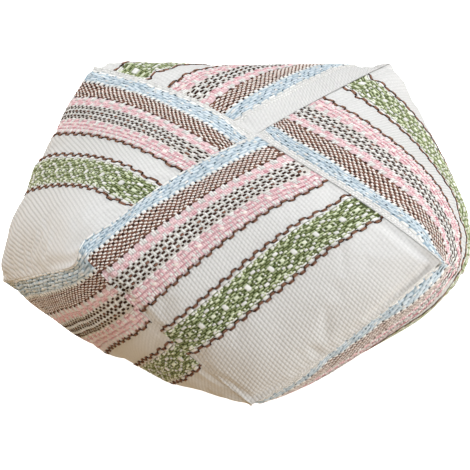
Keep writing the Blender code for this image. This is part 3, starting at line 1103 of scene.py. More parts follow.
@dataclass(frozen=True)
class WeaveChart:
    """The weaver's chart of one repeat of the stripes."""

    low: float = 0.60
    hem: float = 0.45
    top: float = 0.85
    check_rise: float = 0.5
    check_pitch: float = 1.86
    chain_step: float = 1.3
    green_middle: float = 143.3
    green_pitch: float = 2.45

    def rows(self) -> list[Row]:
        """List every row of the chart, from the blue edge on."""
        made = self.blue_band() + self.brown_check() + self.pink_blocks()
        return made + self.dot_band() + self.pink_floats() + self.chains() + self.green_band()

    def blue_band(self) -> list[Row]:
        """Lay brick-like pale blue floats, flecked with slate.

        Returns:
            Its rows.
        """
        made = []
        for number in range(6):
            yarn = Yarn.PALE_BLUE if number else Yarn.WHITE
            made.append(Row(yarn, self.low, 0.7 + 1.75 * number, 1.3 * number, 3, 12.5, 1.95))
        flecks = (
            (1.6, 3, 5, 3.4, 0.8),
            (3.3, 0, 7, 2.8, 0.8),
            (5.1, 2, 4, 3.0, 0.9),
            (6.9, 3, 9, 2.6, 0.8),
            (8.6, 1, 6, 2.4, 0.8),
        )
        pale = (
            (4.2, 6, 11, 5.0, 1.8),
            (7.6, 1, 9, 6.0, 1.8),
            (2.4, 4, 7, 4.0, 1.5),
            (11.1, 1, self.check_pitch, 6.0, 4.0),
        )
        made += rows_of(Yarn.WHITE, self.hem, (-1.9, 0, 1, 3.4, 2.0), (-4.3, 0.5, 1, 3.4, 2.0))
        return made + rows_of(Yarn.SLATE, self.top, *flecks) + rows_of(Yarn.WHITE, self.top, *pale)

    def brown_check(self) -> list[Row]:
        """Lay the brown band with its close rows of white grains and its toothed edges.

        Returns:
            Its rows.
        """
        rise = self.check_rise
        every = self.check_pitch
        made = rows_of(Yarn.DARK, rise, (11.9, 1 - 0.5 * every, every, 3.2, 2.8))
        for number in range(8):
            across = 13.6 + 2.2 * number
            lean = 1.0 + number * (0.5 * every - 0.14)
            yarn = Yarn.DARK if number % 4 == 1 else Yarn.BROWN
            made.append(Row(yarn, rise, across, lean, every, 3.6, 2.1, 0.5))
            made.append(Row(Yarn.WARM_WHITE, rise + 0.16, across, lean + 0.5 * every, every, 4.5, 2.05, -0.8))
        made += rows_of(Yarn.DARK, rise, (31.4, 1, 4, 4.4, 3.2))
        made += rows_of(Yarn.BROWN, rise, (30.8, 3, 4, 3.4, 2.2))
        return made + rows_of(Yarn.WHITE, rise + 0.1, (31.2, 2, 4, 3.6, 2.6))

    def pink_blocks(self) -> list[Row]:
        """Lay arched blocks, white over pink and pink over white by turns, each of upright strands.

        Returns:
            Its rows.
        """
        made = []
        for strand, reach in ((-0.68, 5.6), (0.0, 7.4), (0.68, 6.4)):
            made += rows_of(Yarn.WHITE, self.top, (37.6 - 0.5 * reach, 2 + strand, 4, 2.7, reach))
            made += rows_of(Yarn.PINK, self.low, (40.2, 2 + strand, 4, 2.6, 5.4))
        for strand in (-0.62, 0.0, 0.62):
            made += rows_of(Yarn.PINK, self.low, (36.8, strand, 4, 2.5, 5.8))
            made += rows_of(Yarn.PINK if strand < 0.0 else Yarn.WHITE, self.low, (42.0, strand, 4, 2.5, 5.2))
        lines = ((37.9, 0, 4, 6.0, 0.7), (40.2, 2, 4, 7.6, 0.7), (42.0, 2, 8, 6.4, 0.7))
        made += rows_of(Yarn.ROSE, self.top + 0.1, *lines)
        return made + rows_of(Yarn.WHITE, self.top, (44.6, 1, 2, 4.4, 2.8))

    def dot_band(self) -> list[Row]:
        """Lay six rows of dark dots between white bars.

        Returns:
            Its rows.
        """
        made = rows_of(Yarn.DARK, self.low, (45.4, 0, 2, 3.4, 2.7), (48.2, 1, 2, 5.2, 3.2))
        made += rows_of(Yarn.WHITE, self.top, (50.7, 1, 2, 5.4, 1.4), (51.0, 0, 2, 2.8, 6.0))
        made += rows_of(Yarn.DARK, self.low, (53.0, 1, 2, 5.2, 3.0), (55.7, 0, 2, 5.2, 3.1))
        made += rows_of(Yarn.WHITE, self.top, (58.0, 0, 2, 5.4, 1.4), (57.6, 1, 2, 2.8, 6.2))
        made += rows_of(Yarn.DARK, self.low, (60.3, 0, 2, 5.2, 3.1))
        made += rows_of(Yarn.BROWN, self.low + 0.1, (60.3, 4, 8, 5.3, 3.2), (53.0, 1, 6, 5.3, 3.1))
        made += rows_of(Yarn.DARK, self.low, (63.4, 1, 4, 5.4, 3.3))
        return made + rows_of(Yarn.DARK, self.top, (63.0, 3, 4, 3.2, 2.4))

    def pink_floats(self) -> list[Row]:
        """Lay the wide pink band: upright strands, pink and white by turns, crossed by rose lines.

        Returns:
            Its rows.
        """
        low = self.low
        top = self.top
        made = rows_of(Yarn.WHITE, low, (66.0, 3, 4, 9.4, 2.6), (68.4, 3, 4, 6.4, 2.4))
        made += rows_of(Yarn.PINK, low, (67.0, 1, 4, 6.4, 2.6))
        for cell in (0.0, 0.62, 1.24, 1.86, 2.48, 3.1, 3.62):
            pale = cell in (0.62, 2.48, 3.1)
            middle = Yarn.WHITE if cell == 1.24 else Yarn.PINK
            made += rows_of(Yarn.WHITE if pale else Yarn.PINK, low, (71.8, cell, 4, 2.3, 5.6))
            made += rows_of(middle, low, (77.2, cell + 0.28, 4, 2.3, 5.6, 0.4))
            made += rows_of(Yarn.PINK if pale else Yarn.WHITE, low, (82.6, cell + 0.4, 4, 2.2, 5.6, 1.2))
        teeth = ((79.0, 3.0, 8, 4.4, 4.4), (84.4, 3.4, 4, 2.6, 5.0, 1.6), (84.4, 0.2, 4, 2.6, 5.0, 1.6))
        made += rows_of(Yarn.ROSE, top, (70.2, 1, 4, 7.4, 0.7), (73.4, 3, 4, 8.0, 0.7))
        made += rows_of(Yarn.ROSE, top, (75.8, 1, 4, 8.8, 0.8), (79.4, 3, 4, 9.0, 0.7))
        made += rows_of(Yarn.WARM_WHITE, top + 0.1, (74.4, 0, 8, 6.4, 4.8))
        made += rows_of(Yarn.WHITE, top + 0.1, *teeth)
        return made + rows_of(Yarn.PINK, top, (85.4, 1.6, 4, 3.0, 3.2))

    def chain(self, middle: float, high_cell: float, low_cell: float) -> list[Row]:
        """Lay one chain line: doubled stitches that step up and down.

        Args:
            middle: The chain's place across.
            high_cell: The cell of its stitches nearer the blue edge.
            low_cell: The cell of its stitches further from it.

        Returns:
            The chain's rows.
        """
        made = []
        for cell, off in ((high_cell, -self.chain_step), (low_cell, self.chain_step)):
            # The wide dark float under the two russet plies is painted shade: it shows as a dark outline
            # around the plies
            made += rows_of(Yarn.DARK, self.top, (middle + off, cell, 4, 8.6, 3.8))
            for side in (-0.72, 0.72):
                made += rows_of(Yarn.RUSSET, self.top + 0.3, (middle + off + side, cell, 4, 7.2, 1.6))
        made += rows_of(Yarn.DARK, self.top, (middle + 0.1, high_cell + 1.0, 4, 3.0, 2.6, 2.4))
        return made + rows_of(Yarn.DARK, self.top, (middle, low_cell + 1.0, 4, 1.3, 4.6))

    def chains(self) -> list[Row]:
        """Lay the three chain lines and the white teeth inside the last two.

        Returns:
            Its rows.
        """
        made = self.chain(CHART_MARKS.chain_1, 2, 0)
        made += self.chain(CHART_MARKS.chain_2, 3, 1)
        made += self.chain(CHART_MARKS.chain_3, 1, 3)
        for middle, inward in ((CHART_MARKS.chain_2, 1.0), (CHART_MARKS.chain_3, -1.0)):
            teeth = ((middle + inward * 2.6, 3, 4, 7.0, 4.4), (middle + inward * 4.6, 1, 4, 8.0, 2.4))
            made += rows_of(Yarn.WHITE, self.low, *teeth)
            made += rows_of(Yarn.WHITE, self.top, (middle + inward * 6.6, 3, 4, 5.2, 3.6))
            made += rows_of(Yarn.LIGHT_GREEN, self.top, (middle + inward * 7.0, 1, 4, 2.4, 2.4))
        return made

    def green_band(self) -> list[Row]:
        """Lay the green band: brick-like floats and a mirrored lozenge figure in light yarn.

        Returns:
            Its rows.
        """
        made = []
        middle = self.green_middle
        for number in range(-7, 8):
            yarn = Yarn.OLIVE if number % 3 == 0 else Yarn.GREEN
            made += rows_of(yarn, self.low, (middle + self.green_pitch * number, number % 2, 2, 7.8, 2.25))
        top = self.top + 0.1
        made += rows_of(Yarn.WHITE, top, (middle, 0, 8, 6.8, 9.2))
        made += rows_of(Yarn.LIGHT_GREEN, top, (middle, 4, 8, 6.4, 5.0))
        for hand in (-1.0, 1.0):
            for cell in (-1.5, 1.5):
                pair = ((middle + hand * 5.0, cell, 8, 4.6, 2.8), (middle + hand * 13.5, cell, 8, 4.8, 3.0))
                made += rows_of(Yarn.LIGHT_GREEN, top, *pair)
                made += rows_of(Yarn.WHITE, top, (middle + hand * 1.2, 1.6 * cell, 8, 2.2, 2.0))
            for cell in (-2.5, 2.5):
                made += rows_of(Yarn.WHITE, top, (middle + hand * 7.3, cell, 8, 4.4, 3.0))
                made += rows_of(Yarn.LIGHT_GREEN, top, (middle + hand * 15.6, cell + 0.7, 8, 3.0, 2.4))
            made += rows_of(Yarn.WHITE, top, (middle + hand * 9.8, 4, 8, 7.2, 4.2))
            made += rows_of(Yarn.LIGHT_GREEN, top, (middle + hand * 11.3, 0, 8, 5.4, 2.4))
            made += rows_of(Yarn.WHITE, top, (middle + hand * 16.9, 2, 4, 3.2, 2.2))
        return made


def add_node(tree: NodeTree, kind: str, settings: dict[str | int, object] | None = None) -> Node:
    """Add a shader node with its settings and links.

    Args:
        tree: The node tree to add it to.
        kind: The node's kind, without Blender's prefix.
        settings: Values by property name, or by the name or number of an input. Another
            node's output, or a node for its first output, is linked to the input.

    Returns:
        The node.
    """
    node = tree.nodes.new(f"ShaderNode{kind}")
    for key, value in (settings or {}).items():
        if isinstance(value, Node):
            value = value.outputs[0]
        if isinstance(value, NodeSocket):
            tree.links.new(value, node.inputs[key])
        elif isinstance(key, str) and hasattr(node, key):
            setattr(node, key, value)
        else:
            node.inputs[key].default_value = value
    return node


def start_material(name: str, roughness: float, sheen: float, gloss: float = 0.15) -> tuple[Material, Node]:
    """Start a node material with a rough, slightly fuzzy surface.

    Args:
        name: The material's name.
        roughness: Its roughness.
        sheen: How much its fuzz catches light at a glance.
        gloss: How strongly it reflects.

    Returns:
        The material and its Principled shader.
    """
    material = bpy.data.materials.new(name)
    material.use_nodes = True
    shader = material.node_tree.nodes["Principled BSDF"]
    shader.inputs["Roughness"].default_value = roughness
    shader.inputs["Metallic"].default_value = 0.0
    shader.inputs["IOR"].default_value = 1.5
    shader.inputs["Specular IOR Level"].default_value = gloss
    shader.inputs["Sheen Weight"].default_value = sheen
    shader.inputs["Sheen Roughness"].default_value = 0.5
    return material, shader


def yarn_material(finish: YarnFinish) -> Material:
    """Make spun cotton yarn: two plies twisted together, each stitch dyed a touch apart.

    The eye sees slanting ply lines on every float, a soft dark line where the plies meet,
    and uneven colour from float to float. The ply lines are a bump with painted shade in the
    grooves between the plies and painted light on their crests, and each float's rim is
    darkened as painted shade where its edges fall into shadow. The real fibres are finer
    than a pixel, so the ply lines are drawn at the yarn's own twist and the fibres only as noise.

    Args:
        finish: The yarn.

    Returns:
        The material.
    """
    material, shader = start_material(f"spun_{finish.label}", finish.roughness, finish.sheen, finish.gloss)
    tree = material.node_tree
    place = add_node(tree, "UVMap", {"uv_map": "yarn"})
    slanted = {"bands_direction": "DIAGONAL", "Scale": math.tau / 20.0 / finish.twist_mm * 2.0}
    twist = add_node(tree, "TexWave", {**slanted, "Distortion": 0.6, "Detail": 1.0, "Vector": place})
    ply = twist.outputs["Fac"]
    fibre = add_node(tree, "TexNoise", {"Scale": finish.fibre_scale, "Detail": 3.0, "Vector": place})
    dye = add_node(tree, "Attribute", {"attribute_name": "dye"}).outputs["Fac"]
    # Painted shade at each float's rim, where its edges fall into shadow
    edge_shade = add_node(tree, "Attribute", {"attribute_name": "painted_edge_shade"}).outputs["Fac"]
    share = {"operation": "MULTIPLY_ADD"}
    # Painted shade in the grooves between the plies, painted light on their crests
    lit = add_node(tree, "Math", {"operation": "MULTIPLY", 0: ply, 1: finish.twist_share})
    uneven = add_node(tree, "Math", {**share, 0: fibre, 1: finish.fibre_share, 2: lit})
    dyed = add_node(tree, "Math", {**share, 0: dye, 1: finish.dye_share, 2: uneven})
    tone = add_node(tree, "Math", {**share, "use_clamp": True, 0: edge_shade, 1: finish.edge_shade_share, 2: dyed})
    ends = {6: linear_colour(finish.shade), 7: linear_colour(finish.light)}
    colour = add_node(tree, "Mix", {"data_type": "RGBA", 0: tone, **ends})
    bump = add_node(tree, "Bump", {"Strength": finish.ply_bump, "Distance": finish.ply_height, "Height": ply})
    tree.links.new(colour.outputs[2], shader.inputs["Base Color"])
    tree.links.new(bump.outputs["Normal"], shader.inputs["Normal"])
    return material


class BandColour(NamedTuple):
    """Where a band of the ground cloth starts across the chart, and its sRGB colour."""

    start_mm: float
    colour: str


class PaintedWeaveShade(NamedTuple):
    """Painted shade of a panel's weave, set per panel for the side that the light falls from: the lean of its
    seeds, and how deep the painted shade of its ribs and seeds lies.
    """

    hand: float
    ribs: float
    seeds: float


# Each panel's weights for the ground's painted shade, set for the side that the light falls from
EVEN_WEAVE_SHADE = PaintedWeaveShade(-1.0, 1.0, 0.62)
PANEL_WEAVE_SHADES = {
    "top_panel_left": PaintedWeaveShade(0.7, 0.40, 1.4),
    "bottom_panel_front_left": PaintedWeaveShade(-1.0, 0.4, 0.4),
}


@dataclass(frozen=True)
class GroundFinish:
    """The plain-woven cotton ground under the floats."""

    label: str = "plain_woven_cotton"
    bands: tuple[BandColour, ...] = (
        BandColour(-100.0, "d8d8d7"),
        BandColour(0.0, "9fb4c3"),
        BandColour(10.6, "6e4d40"),
        BandColour(30.8, "dcc0c3"),
        BandColour(44.0, "d8d4ce"),
        BandColour(65.0, "d3adb2"),
        BandColour(86.0, "d8d8d7"),
        # The green band's ground is partly its own dye and partly painted shade of the gaps between its
        # floats
        BandColour(124.6, "4b5531"),
        BandColour(162.2, "d8d8d7"),
    )
    chart_start_mm: float = -100.0
    chart_span_mm: float = 420.0
    rib_mm: float = CELL_MM
    pick_mm: float = 4.8
    slant: float = -0.14
    valley_power: float = 1.8
    # Painted shade of the weave's hollows: the tone runs from lit at no depth down to shaded at the deepest
    deepest: float = 3.0
    lit: float = 0.985
    shaded: float = 0.55
    patch_scale: float = 0.45
    patch_dark: float = 0.93
    patch_light: float = 1.05
    fibre_mm: float = 0.9
    fibre_share: float = -0.35
    bump: float = 0.8
    bump_height: float = 0.0005
    roughness: float = 0.9
    sheen: float = 0.08

    def material(self) -> Material:
        """Make the ground cloth's material.

        Thick bleached weft over a finer warp gives the eye ribs a few millimetres apart,
        each a row of small bright seeds with grey hollows between them, the seeds of one
        rib halfway between those of the next. The grey of the hollows is painted shade,
        multiplied into the band colours beside a bump of the same depth.

        Returns:
            The material.
        """
        material, shader = start_material(self.label, self.roughness, self.sheen)
        tree = material.node_tree
        uv = add_node(tree, "UVMap", {"uv_map": "weave"})
        along, across, _ = add_node(tree, "SeparateXYZ", {0: uv}).outputs
        span = {"From Min": self.chart_start_mm, "From Max": self.chart_start_mm + self.chart_span_mm}
        ramp = add_node(tree, "ValToRGB", {"Fac": add_node(tree, "MapRange", {**span, "Value": across})})
        ramp.color_ramp.interpolation = "CONSTANT"
        stops = ramp.color_ramp.elements
        stops.remove(stops[1])
        for number, band in enumerate(self.bands):
            position = (band.start_mm - self.chart_start_mm) / self.chart_span_mm
            stop = stops[0] if number == 0 else stops.new(position)
            stop.position = position
            stop.color = linear_colour(band.colour)

        times = {"operation": "MULTIPLY"}
        times_add = {"operation": "MULTIPLY_ADD"}
        # Each panel's painted shade weights: the lean of the seeds, and how deep the ribs' and seeds' painted
        # shade lies
        pull = add_node(tree, "Attribute", {"attribute_name": "pull"}).outputs["Vector"]
        hand, ribs, seeds = add_node(tree, "SeparateXYZ", {0: pull}).outputs
        leaning = add_node(tree, "Math", {**times_add, 0: across, 1: self.slant, 2: along})
        handed = add_node(tree, "Math", {**times, 0: leaning, 1: hand})
        half_pick = 0.5 * self.pick_mm / self.rib_mm
        shifted = add_node(tree, "Math", {**times_add, 0: handed, 1: half_pick, 2: across})
        rib = self.valley(tree, leaning, self.rib_mm)
        seed = self.valley(tree, shifted, self.pick_mm)
        ribbed = add_node(tree, "Math", {**times, 0: rib, 1: ribs})
        depth = add_node(tree, "Math", {**times_add, 0: seed, 1: seeds, 2: ribbed})
        patch = add_node(tree, "TexNoise", {"Scale": self.patch_scale, "Detail": 2.0, "Vector": uv})
        fibre = add_node(tree, "TexNoise", {"Scale": 1.0 / self.fibre_mm, "Detail": 3.0, "Vector": uv})
        # The hollows' depth darkens the band colours as painted shade
        hollow = {"From Min": 0.0, "From Max": self.deepest, "To Min": self.lit, "To Max": self.shaded}
        uneven = {"From Min": 0.3, "From Max": 0.7, "To Min": self.patch_dark, "To Max": self.patch_light}
        shade = add_node(tree, "MapRange", {**hollow, "Value": depth})
        tint = add_node(tree, "MapRange", {**uneven, "Value": patch})
        tone = add_node(tree, "Math", {**times, 0: shade, 1: tint})
        colour = add_node(tree, "VectorMath", {"operation": "SCALE", 0: ramp, 3: tone})
        rough = add_node(tree, "Math", {**times_add, 0: fibre, 1: self.fibre_share, 2: depth})
        sunk = {"Strength": self.bump, "Distance": self.bump_height, "invert": True}
        bump = add_node(tree, "Bump", {**sunk, "Height": rough})
        tree.links.new(colour.outputs[0], shader.inputs["Base Color"])
        tree.links.new(bump.outputs["Normal"], shader.inputs["Normal"])
        return material

    def valley(self, tree: NodeTree, place: Node, pitch_mm: float) -> Node:
        """Make soft valleys at an even pitch between rounded ridges.

        Args:
            tree: The material's node tree.
            place: The place across the valleys, in mm.
            pitch_mm: The pitch.

        Returns:
            The valleys' depth, from 0 to 1.
        """
        turned = add_node(tree, "Math", {"operation": "MULTIPLY", 0: place, 1: math.tau / pitch_mm})
        wave = add_node(tree, "Math", {"operation": "COSINE", 0: turned})
        even = add_node(tree, "Math", {"operation": "MULTIPLY_ADD", 0: wave, 1: 0.5, 2: 0.5})
        return add_node(tree, "Math", {"operation": "POWER", 0: even, 1: self.valley_power})


@dataclass(frozen=True)
class GroundCloth:
    """The ground cloth of one panel, with the filling behind it closed in to the heart."""

    along_cells: int = 120
    across_cells: int = 72
    edge_steps_mm: tuple[float, ...] = (0.0, 0.25, 0.6, 1.1, 1.8, 2.8, 4.0)
    wall_rings: tuple[float, ...] = (0.04, 0.3, 0.7)
    heart_setback: float = 0.001
    stand_clear: float = 0.0008
    # How much, and how far in, the ground's painted weave shade fades beside the start seam of an upper panel
    seam_shade_fade: float = 0.5
    seam_shade_reach: float = 0.14
    sharp_angle: float = math.radians(55.0)

    def steps(self, side: float, cells: int) -> Array:
        """Space points along a side, close beside its two seams and even between.

        Args:
            side: The side's length.
            cells: How many even cells lie between.

        Returns:
            Rising places from 0 to 1.
        """
        edges = np.array(self.edge_steps_mm) * MM / side
        even = np.linspace(edges[-1], 1.0 - edges[-1], cells + 1)
        return np.unique(np.round(np.concatenate([edges, even, 1.0 - edges]), 7))

    def build(self, sewn: SewnPanel, lay: WeaveLay, finish: GroundFinish, material: Material) -> Object:
        """Build the closed piece.

        Args:
            sewn: The sewn panel.
            lay: How the weave lies on it.
            finish: The ground's look.
            material: The ground's material.

        Returns:
            The piece.
        """
        form = sewn.form
        side = form.shape.panel_side
        run = self.steps(side, self.along_cells)
        rise = self.steps(side, self.across_cells)
        spots = spot_grid(run, rise)
        points = sewn.points(spots)
        if not form.upper:
            points[:, 2] = np.maximum(points[:, 2], self.stand_clear)

        index = np.arange(len(points)).reshape(len(run), len(rise))
        ring = grid_rim(index)
        rim = points[ring]
        apex = sewn.heart + self.heart_setback * unit(points.mean(axis=0) - sewn.heart)
        rings = [rim + share * (apex - rim) for share in self.wall_rings]
        verts = np.concatenate([points, *rings, apex[None, :]])
        quads = [grid_quads(index)]
        for number in range(len(rings)):
            inner = len(points) + number * len(rim) + np.arange(len(rim))
            quads.append(np.stack([ring, inner, np.roll(inner, -1), np.roll(ring, -1)], axis=1))
            ring = inner
        tips = [(int(a), len(verts) - 1, int(b)) for a, b in zip(ring, np.roll(ring, -1))]

        mesh = bpy.data.meshes.new(f"{form.name}_cloth")
        mesh.from_pydata(verts.tolist(), [], np.concatenate(quads).tolist() + tips)
        mesh.materials.append(material)
        places = np.tile((0.0, finish.chart_start_mm), (len(verts), 1))
        places[: len(points)] = lay.to_chart(spots)
        add_places(mesh, "weave", places)
        # The panel's painted shade weights for its weave, faded beside the start seam of an upper panel
        pull = np.tile(np.array(PANEL_WEAVE_SHADES.get(form.name, EVEN_WEAVE_SHADE), np.float32), (len(verts), 1))
        if form.upper:
            shade_fading = self.seam_shade_fade * fade(spots.along * side, self.seam_shade_reach)
            pull[: len(points), 1:] *= (1.0 - shade_fading)[:, None]
        add_values(mesh, "pull", "POINT", pull)
        mesh.shade_smooth()
        mesh.set_sharp_from_angle(angle=self.sharp_angle)
        return add_object(mesh)


@dataclass(frozen=True)
class YarnWork:
    """Lays the chart's floats on a panel as small domed loaves of yarn."""

    bury: float = 0.00035
    end_narrowing: float = 0.28
    least_share: float = 0.3
    loose_mm: float = 0.16
    loose_share: float = 0.04
    stations: tuple[float, ...] = (-1.0, -0.62, 0.62, 1.0)
    lanes: tuple[float, ...] = (-1.0, -0.5, 0.5, 1.0)
    chain_half_mm: float = 3.0
    float_seed: int = 7
    dye_seed: int = 11
    yarn_spread_mm: float = 40.0

    def build(
        self, sewn: SewnPanel, lay: WeaveLay, rows: list[Row], materials: dict[Yarn, Material]
    ) -> Object:
        """Build all the floats of one panel as one piece.

        Args:
            sewn: The sewn panel.
            lay: How the weave lies on it.
            rows: The chart's rows.
            materials: A material for each yarn.

        Returns:
            The piece.
        """
        yarns = list(materials)
        chance = chance_for(sewn.form.name, self.float_seed)
        batches = [self.row_floats(row, lay, chance) for row in rows]
        kind = np.repeat([yarns.index(row.yarn) for row in rows], [len(batch) for batch in batches])
        floats = np.concatenate(batches)
        keep = self.on_panel(lay, floats, chance)
        floats = floats[keep]

        s, t = spot_grid(np.array(self.stations), np.array(self.lanes))
        dome = np.where((np.abs(s) == 1.0) | (np.abs(t) == 1.0), 0.0, 1.0)
        narrow = 1.0 - self.end_narrowing * (np.abs(s) == 1.0)
        middle_along, middle_across, half_length, half_width, rise, slant = floats.T[:, :, None]
        chart_along = middle_along + s * half_length
        chart_across = middle_across + t * narrow * half_width + 0.5 * slant * s
        spots = lay.to_panel(chart_along.ravel(), chart_across.ravel())
        points, normals = sewn.surface(spots.held())
        height = (dome * rise * MM - (1.0 - dome) * self.bury).ravel()
        points = points + normals * height[:, None]
        points[:, 2] = np.maximum(points[:, 2], 0.0)

        mesh = self.join(f"{sewn.form.name}_yarns", points, kind[keep], list(materials.values()))
        chance = chance_for(sewn.form.name, self.dye_seed)
        own = chance.uniform(0.0, self.yarn_spread_mm, (len(floats), 1))
        places = np.stack([(own + s * half_length).ravel(), (own + t * half_width).ravel()], axis=1)
        add_places(mesh, "yarn", places)
        dye = chance.uniform(0.0, 1.0, len(floats))
        add_values(mesh, "dye", "FACE", np.repeat(dye, len(mesh.polygons) // len(floats)))
        # Mark each float's rim for the painted shade that darkens its edges
        add_values(mesh, "painted_edge_shade", "POINT", np.tile(1.0 - dome, len(floats)))
        mesh.validate()
        mesh.shade_smooth()
        return add_object(mesh)

    def row_floats(self, row: Row, lay: WeaveLay, chance: np.random.Generator) -> Array:
        """Lay one row's floats out on the chart, each a little loose by hand.

        Args:
            row: The chart's row.
            lay: How the weave lies on the panel.
            chance: The source of unevenness.

        Returns:
            The floats' middles, half length, half width, rise and slant, one float a row.
        """
        first_mm = (0.0 - lay.beat.lozenge) * REPEAT_MM / lay.beat.repeat - REPEAT_MM
        last_mm = (lay.side_mm - lay.beat.lozenge) * REPEAT_MM / lay.beat.repeat + REPEAT_MM
        start = math.ceil((first_mm / CELL_MM - row.first) / row.every)
        stop = math.floor((last_mm / CELL_MM - row.first) / row.every)
        cells = row.first + row.every * np.arange(start, stop + 1)
        count = len(cells)
        middle = np.stack([cells * CELL_MM, np.full(count, row.across)], axis=1)
        middle += chance.normal(0.0, self.loose_mm, (count, 2))
        scale = chance.normal(1.0, self.loose_share, (count, 3))
        size = np.array([0.5 * row.length, 0.5 * row.width, row.rise]) * scale
        return np.concatenate([middle, size, np.full((count, 1), row.slant)], axis=1)

    def on_panel(self, lay: WeaveLay, floats: Array, chance: np.random.Generator) -> Array:
        """Tell which floats lie on the panel and aren't cut away at its seams.

        Args:
            lay: How the weave lies on the panel.
            floats: The floats on the chart, as row_floats gives them.
            chance: The source of unevenness.

        Returns:
            True for each float to keep.
        """
        side = lay.side_mm
        along, across = lay.to_panel(floats[:, 0], floats[:, 1])
        chain_marks = np.array([CHART_MARKS.chain_1, CHART_MARKS.chain_2, CHART_MARKS.chain_3])
        woven = np.abs(floats[:, 1:2] - chain_marks).min(axis=1) > self.chain_half_mm
        short = lay.beat.bare / side * chance.uniform(0.0, 1.0, len(along)) * woven
        spare_along = floats[:, 2] / side * (1.0 - 2.0 * self.least_share)
        spare_across = floats[:, 3] / side * (1.0 - 2.0 * self.least_share)
        keep = (along > short - spare_along) & (along < 1.0 + spare_along)
        return keep & (across > -spare_across) & (across < 1.0 + spare_across)

    def join(self, name: str, points: Array, kind: Array, materials: list[Material]) -> Mesh:
        """Join the floats into one mesh with a material slot for each yarn.

        Args:
            name: The mesh's name.
            points: All the floats' points, float by float.
            kind: Each float's yarn.
            materials: The yarns' materials.

        Returns:
            The mesh.
        """
        index = np.arange(len(self.stations) * len(self.lanes)).reshape(len(self.stations), -1)
        pattern = [*grid_quads(index), grid_rim(index)[::-1]]
        starts = range(0, len(points), index.size)
        faces = [(start + face).tolist() for start in starts for face in pattern]
        mesh = bpy.data.meshes.new(name)
        mesh.from_pydata(points.tolist(), [], faces)
        for material in materials:
            mesh.materials.append(material)
        mesh.polygons.foreach_set("material_index", np.repeat(kind, len(pattern)).astype(np.int32))
        return mesh


@dataclass(frozen=True)
class PoufCover:
    """The whole cover: its shape, its chart and its yarns."""

    shape: PoufShape = PoufShape()
    swelling: Swelling = Swelling()
    chart: WeaveChart = WeaveChart()
    ground: GroundFinish = GroundFinish()
    cloth: GroundCloth = GroundCloth()
    work: YarnWork = YarnWork()
    fill: float = 0.85

    def build(self) -> None:
        """Build and dress all eight panels, and report each piece."""
        middle = self.shape.middle()
        heart = np.array([0.0, 0.0, self.shape.heart_height]) - middle
        forms = self.shape.forms(middle)
        swell = self.swelling.run(forms)
        ground = self.ground.material()
        yarns = {yarn: yarn_material(yarn.value) for yarn in Yarn}
        rows = self.chart.rows()
        total = 0
        for form in forms:
            sewn = SewnPanel(form, swell.get(form.name), heart)
            lay = WeaveLay(LIES[form.name], BEATS[form.name], self.shape.panel_side / MM)
            cloth = self.cloth.build(sewn, lay, self.ground, ground)
            work = self.work.build(sewn, lay, rows, yarns)
            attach(cloth, BODY)
            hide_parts(form.name)
            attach(work, BODY)
            for piece in (cloth, work):
                faces = sum(len(polygon.vertices) - 2 for polygon in piece.data.polygons)
                total += faces
                LOG.info("%s: %d triangles", piece.name, faces)
        LOG.info("the cover has %d triangles in all", total)


class Lamp(NamedTuple):
    """A round soft lamp that points at the pouf."""

    name: str
    place: tuple[float, float, float]
    size: float
    power: float


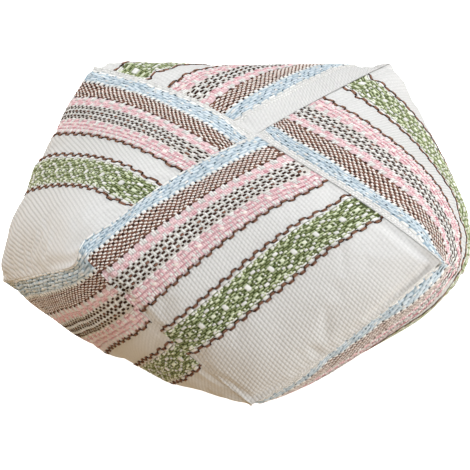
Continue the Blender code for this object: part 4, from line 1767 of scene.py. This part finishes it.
@dataclass(frozen=True)
class Studio:
    """A white sweep, soft lamps all round and a camera at the photograph's angle."""

    lamps: tuple[Lamp, ...] = (
        Lamp("soft_front", (0.3, -2.2, 1.9), 1.6, 29.0),
        Lamp("soft_left", (-2.0, 0.2, 1.7), 1.6, 49.0),
        Lamp("soft_right", (2.1, 0.0, 1.5), 1.6, 42.0),
        Lamp("soft_back", (0.2, 2.1, 1.7), 1.6, 31.0),
        Lamp("low_front_right", (1.7, -1.5, 0.35), 1.4, 20.0),
    )
    sweep_radius: float = 7.0
    sweep_bend: float = 1.5
    sweep_height: float = 6.0
    sweep_sides: int = 64
    sweep_colour: str = "fbfaf8"
    sweep_glow: float = 1.0
    warm_bounce: tuple[float, ...] = (0.60, 0.33, 0.06, 1.0)
    pale_bounce: tuple[float, ...] = (0.66, 0.60, 0.52, 1.0)
    dim_ceiling: tuple[float, ...] = (0.06, 0.06, 0.06, 1.0)
    image_px: int = 470
    focal_px: float = 2756.1
    sensor_mm: float = 36.0
    distance: float = 3.1457
    elevation: float = math.radians(37.42)
    yaw: float = math.radians(-2.78)
    aim: tuple[float, float, float] = (0.0002, 0.0110, 0.12)

    def build(self) -> None:
        """Set up the sweep, the room's bounce light, the lamps and the camera."""
        self.sweep()
        self.room()
        for lamp in self.lamps:
            self.lamp(lamp)
        self.camera()
        bpy.context.scene.view_settings.view_transform = "Standard"

    def sweep(self) -> None:
        """Lay the pale floor and bend it up into a wall all round, lit so evenly that it shows white."""
        flat = self.sweep_radius
        bend = self.sweep_bend
        turns = np.radians(np.arange(0.0, 91.0, 15.0))
        profile = [(0.02, 0.0), (0.5 * flat, 0.0)]
        profile += [(flat + bend * math.sin(turn), bend * (1.0 - math.cos(turn))) for turn in turns]
        profile.append((flat + bend, self.sweep_height))
        around = self.sweep_sides
        angles = math.tau * np.arange(around) / around
        verts = [(r * math.cos(turn), r * math.sin(turn), z) for r, z in profile for turn in angles]
        faces = [tuple(range(around))]
        for low in range(0, len(verts) - around, around):
            high = low + around
            for k in range(around):
                after = (k + 1) % around
                faces.append((low + k, high + k, high + after, low + after))
        mesh = bpy.data.meshes.new("pale_sweep")
        mesh.from_pydata(verts, [], faces)
        material, shader = start_material("matt_painted_floor", 0.95, 0.0)
        shader.inputs["Base Color"].default_value = linear_colour(self.sweep_colour)
        shader.inputs["Emission Color"].default_value = (1.0, 1.0, 1.0, 1.0)
        shader.inputs["Emission Strength"].default_value = self.sweep_glow
        mesh.materials.append(material)
        mesh.shade_smooth()
        ground = add_object(mesh)
        ground.visible_diffuse = False
        ground.visible_glossy = False
        ground.visible_shadow = False

    def room(self) -> None:
        """Bounce a dim light off the ground, warm on the left, with almost none from the ceiling."""
        world = bpy.data.worlds.new("warm_bounce")
        world.use_nodes = True
        tree = world.node_tree
        way = add_node(tree, "SeparateXYZ", {0: add_node(tree, "TexCoord")})
        side = add_node(tree, "MapRange", {"From Min": -0.6, "From Max": 0.3, "Value": way.outputs["X"]})
        mix = {"data_type": "RGBA"}
        ground = add_node(tree, "Mix", {**mix, 0: side, 6: self.warm_bounce, 7: self.pale_bounce})
        height = add_node(tree, "MapRange", {"From Min": -0.12, "From Max": 0.12, "Value": way.outputs["Z"]})
        colour = add_node(tree, "Mix", {**mix, 0: height, 6: ground.outputs[2], 7: self.dim_ceiling})
        tree.links.new(colour.outputs[2], tree.nodes["Background"].inputs["Color"])
        bpy.context.scene.world = world

    def lamp(self, lamp: Lamp) -> None:
        """Add one soft lamp.

        Args:
            lamp: Its name, place, size and power.
        """
        data = bpy.data.lights.new(lamp.name, "AREA")
        data.shape = "DISK"
        data.size = lamp.size
        data.energy = lamp.power
        made = add_object(data)
        made.location = lamp.place
        made.rotation_euler = (Vector(self.aim) - Vector(lamp.place)).to_track_quat("-Z", "Y").to_euler()

    def camera(self) -> None:
        """Stand the camera where the photograph was taken from."""
        cos_e = math.cos(self.elevation)
        back = Vector((math.sin(self.yaw) * cos_e, -math.cos(self.yaw) * cos_e, math.sin(self.elevation)))
        data = bpy.data.cameras.new("photo_view")
        data.sensor_width = self.sensor_mm
        data.lens = self.focal_px * self.sensor_mm / self.image_px
        data.clip_end = 50.0
        camera = add_object(data)
        camera.location = Vector(self.aim) + back * self.distance
        camera.rotation_euler = (-back).to_track_quat("-Z", "Y").to_euler()
        bpy.context.scene.camera = camera


def main() -> None:
    """Build the studio and the cover."""
    logging.basicConfig(level=logging.INFO, format="%(message)s")
    Studio().build()
    PoufCover().build()


if __name__ == "__main__":
    main()
